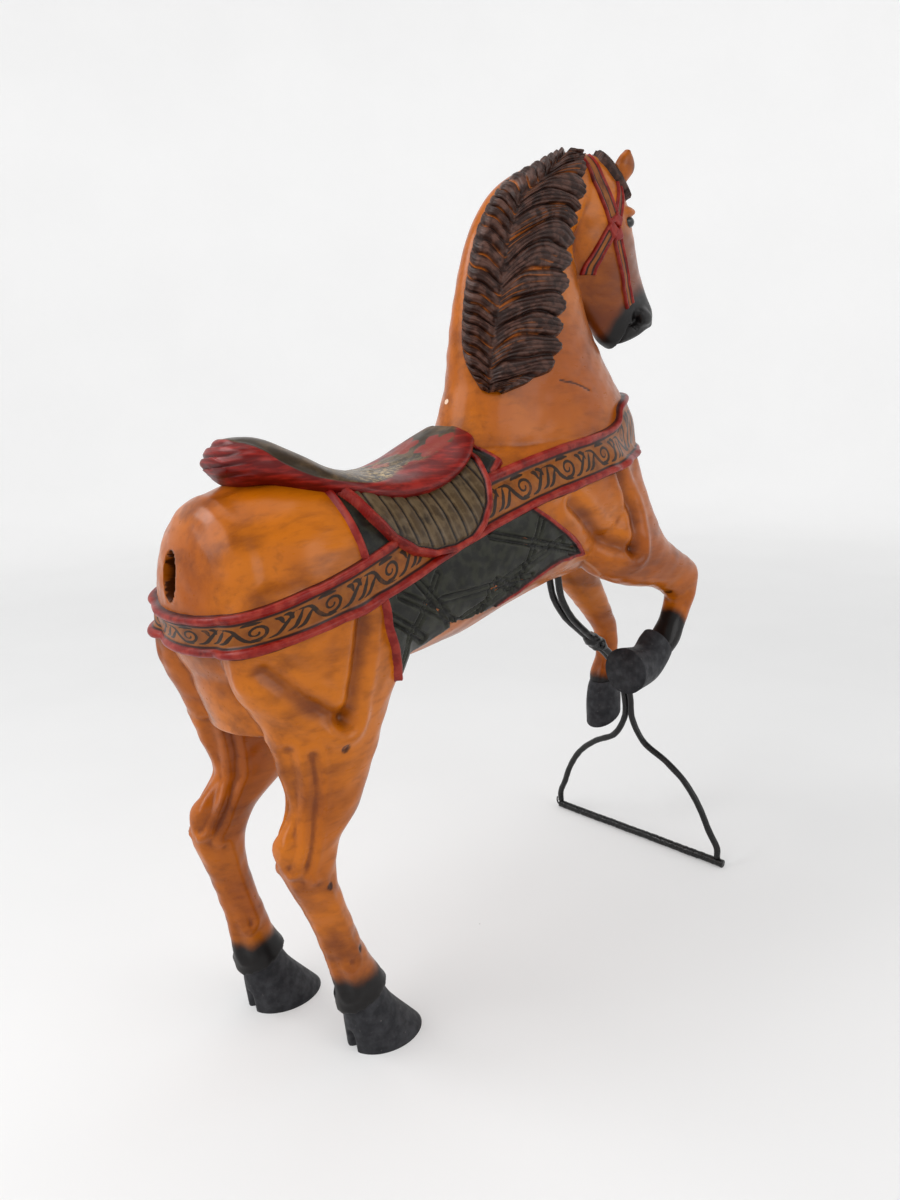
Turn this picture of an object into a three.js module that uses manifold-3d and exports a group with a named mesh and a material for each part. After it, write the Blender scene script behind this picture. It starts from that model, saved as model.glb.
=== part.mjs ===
// A carved and painted wooden carousel horse that stands on its hind hooves and on a bent iron stand.
// Millimetres. +X is the way the horse faces, +Y is its left side, +Z is up and the floor is at Z = 0.
import * as THREE from "three";
import { mergeVertices } from "three/addons/utils/BufferGeometryUtils.js";
import Module from "manifold-3d";

const wasm = await Module();
wasm.setup();

// The layout is drawn from a plumb line near the girth; this moves it to the middle of the horse's length.
const layoutShift = -37;

// Sides round a section and rings between two ribs, for the large and the small forms.
const bodySides = 18;
const neckSides = 14;
const headSides = 12;
const breechSides = 16;
const seatSides = 16;
const legSides = 10;
const earSides = 8;
const ringsPerRib = 1;
const domeRings = 2;

// Heights of the carved harness above the wood.
const bandHeight = 4;
const rimHeight = 9;
const rimWidth = 14;
const padHeight = 6;
const flapHeight = 11;
const flapRimHeight = 15;
const fluteCount = 8;
const fluteWidth = 3.5;
const blanketHeight = 4;
const blanketRimHeight = 8;
const strapHeight = 4;
const forelockHeight = 10;
const maneHeight = 8;
const lockHeight = 12;
const maneSink = 12;
const leftLocks = 13;
const rightLocks = 11;
const grooveDepth = 5;
const grooveWidth = 9;

// Iron stand.
const rodRadius = 5.8;
const rodSides = 8;
const rodSteps = 18;
const barRadius = 7.5;
const barX = 467;
const barEnds = [-193, 183];
const socketClearance = 0.5;
const touchGap = 0.3;

// One rod of the pair, [x, distance from the middle plane, z], from its socket in the belly to the floor bar.
const rodPath = [
  [222, 10, 592], [230, 9.5, 554], [240, 9, 513], [268, 8, 474], [318, 6.6, 433], [352, 6.2, 408],
  [387, 6.2, 378], [426, 6.2, 332], [443, 6.4, 284], [446, 8, 247], [449, 33, 204], [452, 80, 177],
  [455, 118, 147], [458, 147, 107], [462, 167, 62], [466, 180.6, 34],
  [barX, 181, 2 * barRadius + 2 * touchGap],
];

// A rib joins two points of the middle plane of a form, (ax, az) and (bx, bz), and is 2 x half wide.
const rib = (ax, az, bx, bz, half, y = 0) => ({ ax, az, bx, bz, half, y });

const trunkRibs = [
  rib(-381, 744, -380, 502, 103),
  rib(-330, 757, -320, 486, 128),
  rib(-240, 753, -235, 487, 133),
  rib(-140, 742, -140, 494, 128),
  rib(-40, 763, -40, 506, 126),
  rib(60, 797, 60, 530, 128),
  rib(160, 826, 160, 549, 129),
  rib(250, 825, 260, 562, 121),
  rib(320, 800, 332, 606, 98),
];
const neckRibs = [
  rib(-6, 800, 410, 700, 100),
  rib(11, 855, 409, 792, 88),
  rib(20, 930, 353, 872, 70),
  rib(35, 1000, 307, 940, 58),
  rib(63, 1074, 277, 1015, 50),
  rib(111, 1132, 264, 1072, 46),
  rib(186, 1173, 287, 1095, 43),
  rib(258, 1198, 328, 1120, 38),
];

// The root of the neck, sunk into the trunk.
const neckRootRibs = [
  rib(-20, 720, 396, 630, 92),
  rib(-6, 800, 410, 700, 100),
  rib(11, 855, 409, 792, 88),
];
const headRibs = [
  rib(264, 1201, 240, 1135, 30),
  rib(334, 1203, 252, 1085, 43),
  rib(386, 1166, 264, 1037, 49),
  rib(417, 1110, 282, 990, 46),
  rib(440, 1056, 314, 960, 37),
  rib(466, 1012, 341, 938, 32),
  rib(486, 980, 360, 923, 34),
  rib(487, 961, 380, 914, 30),
];
const hindLegRibs = [
  rib(-190, 705, -352, 690, 30, -50),
  rib(-150, 640, -416, 640, 58, -70),
  rib(-154, 575, -425, 585, 60, -73),
  rib(-172, 525, -418, 530, 56, -77),
  rib(-205, 472, -386, 474, 47, -81),
  rib(-235, 410, -372, 418, 40, -84),
  rib(-266, 350, -362, 364, 34, -85),
  rib(-298, 310, -386, 324, 30, -85),
  rib(-305, 268, -376, 282, 28, -85),
  rib(-291, 212, -347, 218, 26, -85),
  rib(-268, 150, -324, 148, 25, -85),
  rib(-249, 114, -313, 104, 27, -85),
  rib(-235, 91, -308, 64, 31, -85),
];

// The wood left standing between the thighs, which ends in a ledge over the gaskins.
const breechRibs = [
  rib(-190, 700, -380, 690, 70),
  rib(-165, 620, -424, 622, 88),
  rib(-172, 545, -424, 552, 94),
  rib(-200, 492, -410, 496, 94),
  rib(-215, 462, -396, 456, 88),
];
const hindHoofRibs = [
  rib(-242, 84, -296, 72, 26, -85),
  rib(-230, 62, -296, 50, 33, -85),
  rib(-181, 0, -292, 0, 44, -85),
];
const foreRightRibs = [
  rib(350, 740, 170, 660, 42, -68),
  rib(366, 665, 210, 575, 46, -82),
  rib(398, 608, 300, 535, 38, -90),
  rib(450, 572, 385, 516, 30, -94),
  rib(494, 542, 434, 486, 28, -95),
  rib(486, 492, 432, 482, 26, -95),
  rib(464, 450, 414, 454, 23, -95),
  rib(440, 415, 388, 425, 26, -95),
  rib(412, 392, 370, 420, 22, -95),
];
const foreRightHoofRibs = [
  rib(412, 388, 374, 446, 27, -95),
  rib(365, 358, 350, 424, 31, -95),
  rib(300, 350, 300, 428, 40, -95),
];
const foreLeftRibs = [
  rib(360, 740, 220, 660, 40, 66),
  rib(392, 620, 270, 570, 40, 78),
  rib(442, 530, 350, 510, 31, 86),
  rib(494, 445, 436, 430, 25, 90),
  rib(519, 395, 471, 385, 21, 90),
  rib(520, 345, 476, 340, 21, 90),
  rib(508, 305, 462, 300, 25, 90),
  rib(508, 278, 462, 268, 20, 89),
];
const foreLeftHoofRibs = [
  rib(514, 300, 458, 292, 25, 88),
  rib(524, 270, 448, 250, 30, 88),
  rib(522, 238, 452, 203, 32, 88),
];

// How far the left hind leg stands behind the right one, at each of its ribs.
const hindLeftFront = [0, 0, -4, -10, -20, 5, 4, -14, -27, -36, -42, -48, -48];
const hindLeftRear = [0, 0, -2, -4, -12, -8, -2, -15, -27, -36, -42, -48, -48];
const hoofSteps = [-48, -48, -48];
const mirrored = (ribs, front, rear = front) => ribs
  .map((r, i) => ({ ...r, ax: r.ax + front[i], bx: r.bx + rear[i], y: -r.y }));

// The saddle seat, from cantle to pommel: a low bolster that sweeps up at both ends.
const seatRibs = [
  rib(-380, 785, -372, 762, 30),
  rib(-364, 802, -358, 748, 48),
  rib(-332, 806, -328, 742, 60),
  rib(-296, 794, -296, 731, 70),
  rib(-250, 770, -250, 720, 84),
  rib(-195, 756, -195, 708, 94),
  rib(-128, 755, -128, 708, 95),
  rib(-74, 770, -72, 722, 89),
  rib(-36, 791, -26, 745, 76),
  rib(-12, 804, 0, 765, 58),
];

// Edges in side view, [x, z], of what is carved on the sides. The band climbs towards the chest.
const bandTop = [[-470, 606], [-331, 644], [0, 741], [116, 768], [282, 800], [300, 822], [450, 852]];
const bandLow = [[-470, 558], [-283, 600], [-36, 668], [86, 699], [450, 756]];
const flapEdge = [
  [-262, 752], [-236, 700], [-200, 660], [-155, 647], [-112, 648], [-62, 668], [-22, 706], [-8, 746],
  [-18, 780],
];
const padEdge = [[-276, 775], [-268, 655], [0, 738], [24, 751], [6, 782], [-60, 800]];
const blanketRear = [[-252, 614], [-230, 555], [-214, 498]];
const blanketFront = [[40, 692], [134, 636], [176, 609]];
const blanketLow = [[-150, 532], [-104, 553], [-50, 557], [99, 606]];
const crownStrap = [[285, 1196], [294, 1161], [326, 1096]];
const cheekStrap = [[326, 1090], [348, 1049], [391, 980]];
const browStrap = [[328, 1096], [353, 1162]];
const throatStrap = [[324, 1096], [293, 1048], [286, 1022]];
const forelock = [[322, 1199], [343, 1180], [365, 1162], [368, 1142]];

// The mane on the rings of the neck, from poll to withers. Each row gives the place along the neck's ribs and
// the turn from the crest, in degrees, of its parting, then of its right edge, then of its left edge.
const maneRows = [
  [6.75, 26, 6.98, 36, 6.98, 6],
  [5.74, 47, 6.8, 54, 6.15, 12],
  [4.65, 46, 5.75, 97, 5, 12],
  [3.87, 46, 4.8, 110, 4.2, 12],
  [2.95, 43, 3.7, 98, 3.25, 12],
  [2.14, 38, 2.72, 84, 2.42, 12],
  [1.39, 33, 1.82, 72, 1.7, 14],
  [0.93, 30, 0.95, 38, 0.98, 26],
];

const thighGrooves = [
  [[-398, 553], [-345, 501], [-302, 474]],
  [[-272, 592], [-302, 474]],
];
const shoulderGrooves = [
  [[120, 688], [210, 624], [281, 598]],
  [[250, 722], [280, 664], [281, 598]],
];

// One ring of a loft: an ellipse between the two middle-plane points of a rib.
function ring(a, b, sides) {
  const points = [];
  for (let i = 0; i < sides; i += 1) {
    const turn = (2 * Math.PI * i) / sides;
    const along = (1 - Math.cos(turn)) / 2;
    points.push(new THREE.Vector3(
      a.x + (b.x - a.x) * along,
      b.y + a.y * Math.sin(turn),
      a.z + (b.z - a.z) * along,
    ));
  }
  return points;
}

function centreOf(points) {
  const sum = new THREE.Vector3();
  points.forEach((p) => sum.add(p));
  return sum.divideScalar(points.length);
}

// Rings past an end ring that close it with a dome, or nothing where the end is flat.
function domeBeyond(last, before, height) {
  if (height <= 0) {
    return [];
  }
  const middle = centreOf(last);
  const outward = middle.clone().sub(centreOf(before)).normalize();
  const rings = [];
  for (let k = 1; k < domeRings; k += 1) {
    const lift = (Math.PI / 2) * (k / domeRings);
    rings.push(last.map((p) => p.clone().sub(middle).multiplyScalar(Math.cos(lift))
      .add(middle).addScaledVector(outward, height * Math.sin(lift))));
  }
  rings.push([middle.clone().addScaledVector(outward, height)]);
  return rings;
}

// A closed skin over rings of equal count, with a point or a flat fan at either end.
function skin(rings) {
  if (rings[0].length > 1) {
    rings.unshift([centreOf(rings[0])]);
  }
  if (rings[rings.length - 1].length > 1) {
    rings.push([centreOf(rings[rings.length - 1])]);
  }
  const positions = [];
  const starts = rings.map((points) => {
    const start = positions.length / 3;
    points.forEach((p) => positions.push(p.x, p.y, p.z));
    return start;
  });
  const index = [];
  for (let k = 0; k + 1 < rings.length; k += 1) {
    const here = rings[k].length;
    const next = rings[k + 1].length;
    const sides = Math.max(here, next);
    for (let i = 0; i < sides; i += 1) {
      const j = (i + 1) % sides;
      if (here > 1) {
        index.push(starts[k] + i, starts[k] + j, starts[k + 1] + (next > 1 ? j : 0));
      }
      if (next > 1) {
        index.push(starts[k] + (here > 1 ? i : 0), starts[k + 1] + j, starts[k + 1] + i);
      }
    }
  }
  const geometry = new THREE.BufferGeometry();
  geometry.setAttribute("position", new THREE.Float32BufferAttribute(positions, 3));
  geometry.setIndex(index);
  return geometry;
}

// A smooth form through its ribs, with a dome of the given height on either end, grown outward by grow.
function loft(ribs, { sides = legSides, startDome = 0, endDome = 0, grow = 0 } = {}) {
  const tops = new THREE.CatmullRomCurve3(ribs.map((r) => new THREE.Vector3(r.ax, r.half + grow, r.az)));
  const ends = new THREE.CatmullRomCurve3(ribs.map((r) => new THREE.Vector3(r.bx, r.y, r.bz)));
  const count = (ribs.length - 1) * ringsPerRib;
  const made = [];
  for (let k = 0; k <= count; k += 1) {
    const a = tops.getPoint(k / count);
    const b = ends.getPoint(k / count);
    const reach = new THREE.Vector2(a.x - b.x, a.z - b.z).setLength(grow);
    a.add(new THREE.Vector3(reach.x, 0, reach.y));
    b.sub(new THREE.Vector3(reach.x, 0, reach.y));
    made.push(ring(a, b, sides));
  }
  const start = domeBeyond(made[0], made[1], startDome + grow * (startDome > 0)).reverse();
  const end = domeBeyond(made[count], made[count - 1], endDome + grow * (endDome > 0));
  return solid(skin([...start, ...made, ...end]));
}

// A three.js geometry as a solid that can be joined and cut, whichever way its faces were wound.
function solid(geometry) {
  const bare = geometry.clone();
  bare.deleteAttribute("normal");
  bare.deleteAttribute("uv");
  const merged = mergeVertices(bare, 1e-4);
  const positions = new Float32Array(merged.attributes.position.array);
  const index = new Uint32Array(merged.index.array);
  const body = (triVerts) => new wasm.Mesh({ numProp: 3, vertProperties: positions, triVerts });
  const made = new wasm.Manifold(body(index));
  if (made.volume() > 0) {
    return made;
  }
  return new wasm.Manifold(body(index.map((_, i) => index[i - (i % 3) + (2 - (i % 3))])));
}

const joined = (solids) => solids.reduce((all, next) => all.add(next));

// A solid without the sealed pockets that stay where carved forms cross.
const larger = (one, other) => (other.volume() > one.volume() ? other : one);
const filled = (whole) => whole.decompose().reduce(larger);

// A prism across the horse whose side view is the outline, from y = near to y = far.
function slab(outline, near, far) {
  const shape = new THREE.Shape(outline.map(([x, z]) => new THREE.Vector2(x, z)));
  const geometry = new THREE.ExtrudeGeometry(shape, { depth: far - near, bevelEnabled: false });
  geometry.rotateX(Math.PI / 2);
  geometry.translate(0, far, 0);
  return solid(geometry);
}

// A strip in side view, width wide, along a row of [x, z] points.
function strip(points, width) {
  const side = (sign) => points.map(([x, z], i) => {
    const [px, pz] = points[Math.max(i - 1, 0)];
    const [nx, nz] = points[Math.min(i + 1, points.length - 1)];
    const across = new THREE.Vector2(-(nz - pz), nx - px).setLength((sign * width) / 2);
    return [x + across.x, z + across.y];
  });
  return [...side(1), ...side(-1).reverse()];
}

// A round bar through a row of points.
function bar(points, radius, sides, steps) {
  const section = new THREE.Shape();
  section.absarc(0, 0, radius, 0, 2 * Math.PI);
  const path = new THREE.CatmullRomCurve3(points.map(([x, y, z]) => new THREE.Vector3(x, y, z)));
  const options = { steps, curveSegments: sides / 2, bevelEnabled: false, extrudePath: path };
  return solid(new THREE.ExtrudeGeometry(section, options));
}

function meshOf(name, manifold, material) {
  const mesh = manifold.getMesh();
  const geometry = new THREE.BufferGeometry();
  geometry.setAttribute("position", new THREE.BufferAttribute(new Float32Array(mesh.vertProperties), 3));
  geometry.setIndex(new THREE.BufferAttribute(new Uint32Array(mesh.triVerts), 1));
  const made = new THREE.Mesh(geometry, material);
  made.name = name;
  return made;
}

const trunk = (grow = 0) => loft(trunkRibs, { sides: bodySides, startDome: 62, endDome: 50, grow });
const neck = (grow = 0) => loft(neckRibs, { sides: neckSides, grow })
  .add(loft(neckRootRibs, { sides: neckSides, grow }));
const head = (grow = 0) => loft(headRibs, { sides: headSides, startDome: 10, endDome: 14, grow });
const hindLegs = (grow = 0) => loft(hindLegRibs, { grow })
  .add(loft(mirrored(hindLegRibs, hindLeftFront, hindLeftRear), { grow }))
  .add(loft(breechRibs, { sides: breechSides, grow }));
const foreLegs = (grow = 0) => loft(foreRightRibs, { grow }).add(loft(foreLeftRibs, { grow }));

function ellipsoid(centre, radii) {
  const geometry = new THREE.SphereGeometry(1, 6, 5);
  geometry.scale(...radii);
  geometry.translate(...centre);
  return solid(geometry);
}

function box(size, centre) {
  const geometry = new THREE.BoxGeometry(...size);
  geometry.translate(...centre);
  return solid(geometry);
}

// Four hooves, the hind ones with a cleft between their heels.
function hooves() {
  const sets = [hindHoofRibs, mirrored(hindHoofRibs, hoofSteps), foreRightHoofRibs, foreLeftHoofRibs];
  const cleft = (ribs) => {
    const heel = ribs[ribs.length - 1];
    return box([24, 7, 44], [heel.bx - 8, heel.y, 14]);
  };
  return joined(sets.map((ribs) => loft(ribs)))
    .subtract(cleft(sets[0]))
    .subtract(cleft(sets[1]));
}

// The breast and breeching band with its two raised rims, round the whole body.
function band() {
  const all = (grow) => joined([trunk(grow), hindLegs(grow), neck(grow), foreLegs(grow)]);
  const within = (edge, by) => edge.map(([x, z]) => [x, z + by]);
  const rims = slab(strip(within(bandTop, -rimWidth / 2), rimWidth), -300, 300)
    .add(slab(strip(within(bandLow, rimWidth / 2), rimWidth), -300, 300));
  const field = slab([...bandLow, ...[...bandTop].reverse()], -300, 300);
  return all(bandHeight).intersect(field).add(all(rimHeight).intersect(rims));
}

// Saddle pad, blanket and fluted saddle flap with their rims, on both flanks.
function trappings() {
  const carved = (outline, grow) => trunk(grow).intersect(slab(outline, -300, 300));
  const blanket = [...blanketRear, ...blanketLow, ...[...blanketFront].reverse(), [-60, 672]];
  const flutes = [];
  for (let i = 0; i < fluteCount; i += 1) {
    const x = -236 + (i * 214) / (fluteCount - 1);
    const reach = 30 + 66 * Math.sin((Math.PI * (i + 1.4)) / (fluteCount + 1));
    flutes.push(strip([[x - 6, 765], [x + 6, 748 - reach]], fluteWidth));
  }
  const channels = joined(flutes.map((outline) => slab(outline, -300, 300))).subtract(trunk(flapHeight - 4));
  return joined([
    carved(padEdge, padHeight),
    carved([...flapEdge, [-90, 800]], flapHeight).subtract(channels),
    carved(strip(flapEdge, 12), flapRimHeight),
    carved(blanket, blanketHeight),
    carved(strip(blanketRear, 12), blanketRimHeight),
    carved(strip(blanketFront, 10), blanketRimHeight),
  ]);
}

// A closed sheet between two grids of points, top(row, column) and low(row, column).
function sheet(rows, columns, top, low) {
  const positions = [];
  const index = [];
  for (const layer of [top, low]) {
    for (let k = 0; k < rows; k += 1) {
      for (let c = 0; c < columns; c += 1) {
        positions.push(...layer(k, c).toArray());
      }
    }
  }
  const at = (layer, k, c) => (layer * rows + k) * columns + c;
  const quad = (p, q, r, t) => index.push(p, q, r, p, r, t);
  for (let k = 0; k + 1 < rows; k += 1) {
    const last = columns - 1;
    for (let c = 0; c < last; c += 1) {
      quad(at(0, k, c), at(0, k, c + 1), at(0, k + 1, c + 1), at(0, k + 1, c));
      quad(at(1, k, c), at(1, k + 1, c), at(1, k + 1, c + 1), at(1, k, c + 1));
    }
    quad(at(0, k, 0), at(0, k + 1, 0), at(1, k + 1, 0), at(1, k, 0));
    quad(at(0, k + 1, last), at(0, k, last), at(1, k, last), at(1, k + 1, last));
  }
  for (let c = 0; c + 1 < columns; c += 1) {
    const last = rows - 1;
    quad(at(0, 0, c + 1), at(0, 0, c), at(1, 0, c), at(1, 0, c + 1));
    quad(at(0, last, c), at(0, last, c + 1), at(1, last, c + 1), at(1, last, c));
  }
  const geometry = new THREE.BufferGeometry();
  geometry.setAttribute("position", new THREE.Float32BufferAttribute(positions, 3));
  geometry.setIndex(index);
  return solid(geometry);
}

const neckTops = new THREE.CatmullRomCurve3(neckRibs.map((r) => new THREE.Vector3(r.ax, r.half, r.az)));
const neckEnds = new THREE.CatmullRomCurve3(neckRibs.map((r) => new THREE.Vector3(r.bx, 0, r.bz)));

// A point over the right side of the neck, by its place along the ribs, its turn from the crest and height.
function overNeck(place, degrees, height) {
  const share = Math.min(place / (neckRibs.length - 1), 1);
  const top = neckTops.getPoint(share);
  const end = neckEnds.getPoint(share);
  const turn = THREE.MathUtils.degToRad(degrees);
  const reach = new THREE.Vector3(end.x - top.x, 0, end.z - top.z);
  const out = reach.clone().multiplyScalar(-2 * Math.cos(turn) / reach.lengthSq());
  out.y = -Math.sin(turn) / top.y;
  return new THREE.Vector3(top.x, -top.y * Math.sin(turn), top.z)
    .addScaledVector(reach, (1 - Math.cos(turn)) / 2)
    .addScaledVector(out.normalize(), height);
}

// The mane's rows at a share of the way from poll to withers.
function maneRow(share) {
  const place = Math.min(share, 0.9999) * (maneRows.length - 1);
  const row = Math.floor(place);
  return maneRows[row].map((value, i) => THREE.MathUtils.lerp(value, maneRows[row + 1][i], place - row));
}

// One half of the mane, from its parting to an edge: locks side by side, each a ridge between two valleys.
function locks(count, columns, edge, bend, heights) {
  const rows = 2 * count + 1;
  const place = (k, c) => {
    const [middle, middleTurn, right, rightTurn, left, leftTurn] = maneRow(k / (rows - 1));
    const [rim, rimTurn] = edge > 0 ? [right, rightTurn] : [left, leftTurn];
    const across = c / (columns - 1);
    const rise = bend * (1 - (1 - across) ** 2) + (1 - bend) * across;
    return [middle + (rim - middle) * rise, middleTurn + (rimTurn - middleTurn) * across];
  };
  const height = (k, c) => {
    const [valley, ridge] = heights;
    const full = Math.min(1, 0.45 + c / 2);
    return full * (k % 2 ? ridge : valley);
  };
  const top = (k, c) => overNeck(...place(k, c), height(k, c));
  const low = (k, c) => overNeck(...place(k, c), -maneSink);
  return sheet(rows, columns, top, low);
}

// The mane lies on the right side of the neck: short locks behind its parting, longer ones before it.
function mane() {
  return locks(leftLocks, 3, -1, 0, [maneHeight - 3, lockHeight - 3])
    .add(locks(rightLocks, 6, 1, 1, [maneHeight - 2, lockHeight]));
}

// Bridle straps, forelock, ears, eyes under their brows, nostrils and the line of the mouth.
function dressedHead() {
  const both = (make) => make(-1).add(make(1));
  const straps = [[crownStrap, 27], [cheekStrap, 22], [browStrap, 19], [throatStrap, 22]]
    .map(([points, width]) => slab(strip(points, width), -300, 300));
  const ear = (side) => loft([
    rib(348, 1158, 364, 1152, 7, side * 31),
    rib(346, 1176, 373, 1170, 10, side * 36),
    rib(347, 1191, 378, 1187, 12, side * 40),
    rib(354, 1204, 377, 1201, 9, side * 43),
    rib(366, 1213, 371, 1212, 2, side * 45),
  ], { sides: earSides });
  const raised = joined([
    head(),
    head(strapHeight).intersect(joined(straps)),
    head(forelockHeight).intersect(slab(strip(forelock, 15), -300, 300)),
    both(ear),
    both((side) => ellipsoid([376, side * 43, 1107], [13, 9, 10])),
    both((side) => ellipsoid([370, side * 43, 1122], [20, 10, 7])),
  ]);
  const mouth = slab(strip([[366, 929], [426, 938], [470, 946]], 4), -300, 300).subtract(head(-4));
  return raised.subtract(mouth).subtract(both((side) => ellipsoid([411, side * 38, 956], [9, 10, 14])));
}

// Grooves of even depth along rows of side-view points, on both sides of a form.
function grooves(rows, inner) {
  const flanks = [[-300, -88], [88, 300]];
  return joined(rows.flatMap((row) => flanks.map(([near, far]) => slab(strip(row, grooveWidth), near, far))))
    .subtract(inner);
}

// The long oval socket that held the tail.
function tailSocket() {
  const oval = new THREE.Shape();
  oval.absellipse(0, 0, 14, 27, 0, 2 * Math.PI);
  const geometry = new THREE.ExtrudeGeometry(oval, { depth: 70, curveSegments: 6, bevelEnabled: false });
  geometry.rotateX(Math.PI / 2);
  geometry.rotateZ(Math.PI / 2);
  geometry.translate(-480, 8, 654);
  return solid(geometry);
}

function rod(side, grow = 0) {
  return bar(rodPath.map(([x, y, z]) => [x, side * y, z]), rodRadius + grow, rodSides, rodSteps);
}

// A lumpy wrap where the pair of rods leaves the belly.
function collar() {
  const lumps = [[0, 8, 13], [10, 12, 17], [19, 10, 15], [30, 12.5, 18], [43, 8, 13]];
  const start = new THREE.Vector2(326, 427);
  const down = new THREE.Vector2(352 - 318, 408 - 433).normalize();
  const ribs = lumps.map(([far, thick, half]) => {
    const at = start.clone().addScaledVector(down, far);
    const across = new THREE.Vector2(-down.y, down.x).multiplyScalar(thick);
    return rib(at.x + across.x, at.y + across.y, at.x - across.x, at.y - across.y, half);
  });
  return loft(ribs, { sides: 8 })
    .subtract(rod(-1, touchGap))
    .subtract(rod(1, touchGap));
}

// The bar on the floor, with a thin hook left standing at its left end.
function floorBar() {
  const [right, left] = barEnds;
  const geometry = new THREE.CylinderGeometry(barRadius, barRadius, left - right, 10);
  geometry.translate(barX, (left + right) / 2, barRadius);
  const hook = [[barX, left - 3, 6], [barX, left + 5, 6], [barX, left + 8.5, 12], [barX, left + 8, 20]];
  return solid(geometry).add(bar(hook, 2, 6, 5));
}

const wood = new THREE.MeshStandardMaterial({ color: 0xb5712f, roughness: 0.35, metalness: 0 });
const iron = new THREE.MeshStandardMaterial({ color: 0x1d1b1c, roughness: 0.45, metalness: 0.2 });

const seat = loft(seatRibs, { sides: seatSides });
const body = [trunk(), neck(), dressedHead(), hindLegs(), foreLegs(), hooves()];
const harness = [band(), trappings(), mane(), seat];
const horse = joined([...body, ...harness])
  .subtract(grooves(thighGrooves, trunk(-grooveDepth).add(hindLegs(-grooveDepth))))
  .subtract(grooves(shoulderGrooves, trunk(-grooveDepth).add(foreLegs(-grooveDepth))))
  .subtract(tailSocket())
  .subtract(rod(-1, socketClearance))
  .subtract(rod(1, socketClearance));

const group = new THREE.Group();
group.position.x = layoutShift;
group.add(meshOf("carved_horse", filled(horse), wood));
group.add(meshOf("stand_rod_right", rod(-1), iron));
group.add(meshOf("stand_rod_left", rod(1), iron));
group.add(meshOf("stand_collar", collar(), iron));
group.add(meshOf("stand_floor_bar", floorBar(), iron));
export default group;
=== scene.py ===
"""Look of a carved and painted wooden carousel horse that stands on a bent iron stand.

The carving is rebuilt from the same ribs as the solids at a finer step, joined into one skin, smoothed and
carved. Harness, saddle and mane are fine reliefs draped over that skin. Shapes are laid out in millimetres
from a plumb line near the girth and moved into the frame when a mesh is made.
"""

from __future__ import annotations

import logging
import math
from dataclasses import dataclass
from enum import Enum
from typing import Callable, Iterable, Sequence

import bpy
import numpy as np
from mathutils import Matrix, Vector
from mathutils.bvhtree import BVHTree

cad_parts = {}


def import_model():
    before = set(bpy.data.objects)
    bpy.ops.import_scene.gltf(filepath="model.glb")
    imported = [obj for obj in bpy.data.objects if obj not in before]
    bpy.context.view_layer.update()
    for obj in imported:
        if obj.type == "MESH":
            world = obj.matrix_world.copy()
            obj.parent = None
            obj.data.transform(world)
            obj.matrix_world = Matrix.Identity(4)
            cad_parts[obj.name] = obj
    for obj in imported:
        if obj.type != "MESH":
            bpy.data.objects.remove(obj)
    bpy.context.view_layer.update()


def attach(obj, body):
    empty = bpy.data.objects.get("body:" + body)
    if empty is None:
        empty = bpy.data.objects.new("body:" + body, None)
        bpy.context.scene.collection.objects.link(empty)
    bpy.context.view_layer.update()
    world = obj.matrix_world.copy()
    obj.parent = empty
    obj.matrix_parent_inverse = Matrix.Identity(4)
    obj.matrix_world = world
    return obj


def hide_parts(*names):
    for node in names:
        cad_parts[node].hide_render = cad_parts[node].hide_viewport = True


log = logging.getLogger("carousel_horse")

LAYOUT_SHIFT_MM = -37.0
MM = 0.001
HORSE_NODE = "carved_horse"
WOOD_SLOT = "carved_wood"
IRON_SLOT = "stand_iron"
NO_CORNER = -1

Array = np.ndarray
Outline = Sequence[tuple[float, float]]
Values = dict[str, Array]
Relief = Callable[[Array, Array], tuple[Array, Values]]
Socket = bpy.types.NodeSocket
Material = bpy.types.Material


class Side(Enum):
    """A side of the horse, as the sign of its Y."""

    RIGHT = -1
    LEFT = 1


BOTH_SIDES = (Side.RIGHT, Side.LEFT)


@dataclass(frozen=True)
class Rib:
    """A section of a form: two points of its middle plane, its half width and its distance from the middle.

    Args:
        ax, az: One end of the rib in side view, in mm.
        bx, bz: The other end in side view, in mm.
        half: Half the width across the horse, in mm.
        y: Where the rib's middle lies across the horse, in mm.
    """

    ax: float
    az: float
    bx: float
    bz: float
    half: float
    y: float = 0.0


@dataclass
class Shell:
    """A surface as arrays.

    Args:
        vertices: Points in layout mm, one row each.
        faces: Corner indices, four to a row; a triangle's fourth is NO_CORNER.
    """

    vertices: Array
    faces: Array


# Shape helpers


def through(points: Iterable[Sequence[float]], count: int) -> Array:
    """Points along a centripetal Catmull-Rom curve, evenly spaced in its parameter.

    Args:
        points: The curve's knots, of any number of coordinates.
        count: How many points to return, ends included.

    Returns:
        One row per point.
    """
    knots = np.asarray(list(points), dtype=float)
    before = 2 * knots[0] - knots[1]
    after = 2 * knots[-1] - knots[-2]
    padded = np.vstack([before, knots, after])
    place = np.linspace(0, len(knots) - 1, count)
    start = np.minimum(place.astype(int), len(knots) - 2)
    share = (place - start)[:, None]
    p0, p1, p2, p3 = (padded[start + k] for k in range(4))
    pairs = ((p0, p1), (p1, p2), (p2, p3))
    d0, d1, d2 = (np.sqrt(np.linalg.norm(b - a, axis=1, keepdims=True)) for a, b in pairs)
    d1 = np.where(d1 < 1e-4, 1.0, d1)
    d0 = np.where(d0 < 1e-4, d1, d0)
    d2 = np.where(d2 < 1e-4, d1, d2)
    t1 = ((p1 - p0) / d0 - (p2 - p0) / (d0 + d1) + (p2 - p1) / d1) * d1
    t2 = ((p2 - p1) / d1 - (p3 - p1) / (d1 + d2) + (p3 - p2) / d2) * d1
    c2 = -3 * p1 + 3 * p2 - 2 * t1 - t2
    c3 = 2 * p1 - 2 * p2 + t1 + t2
    return p1 + t1 * share + c2 * share**2 + c3 * share**3


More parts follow.
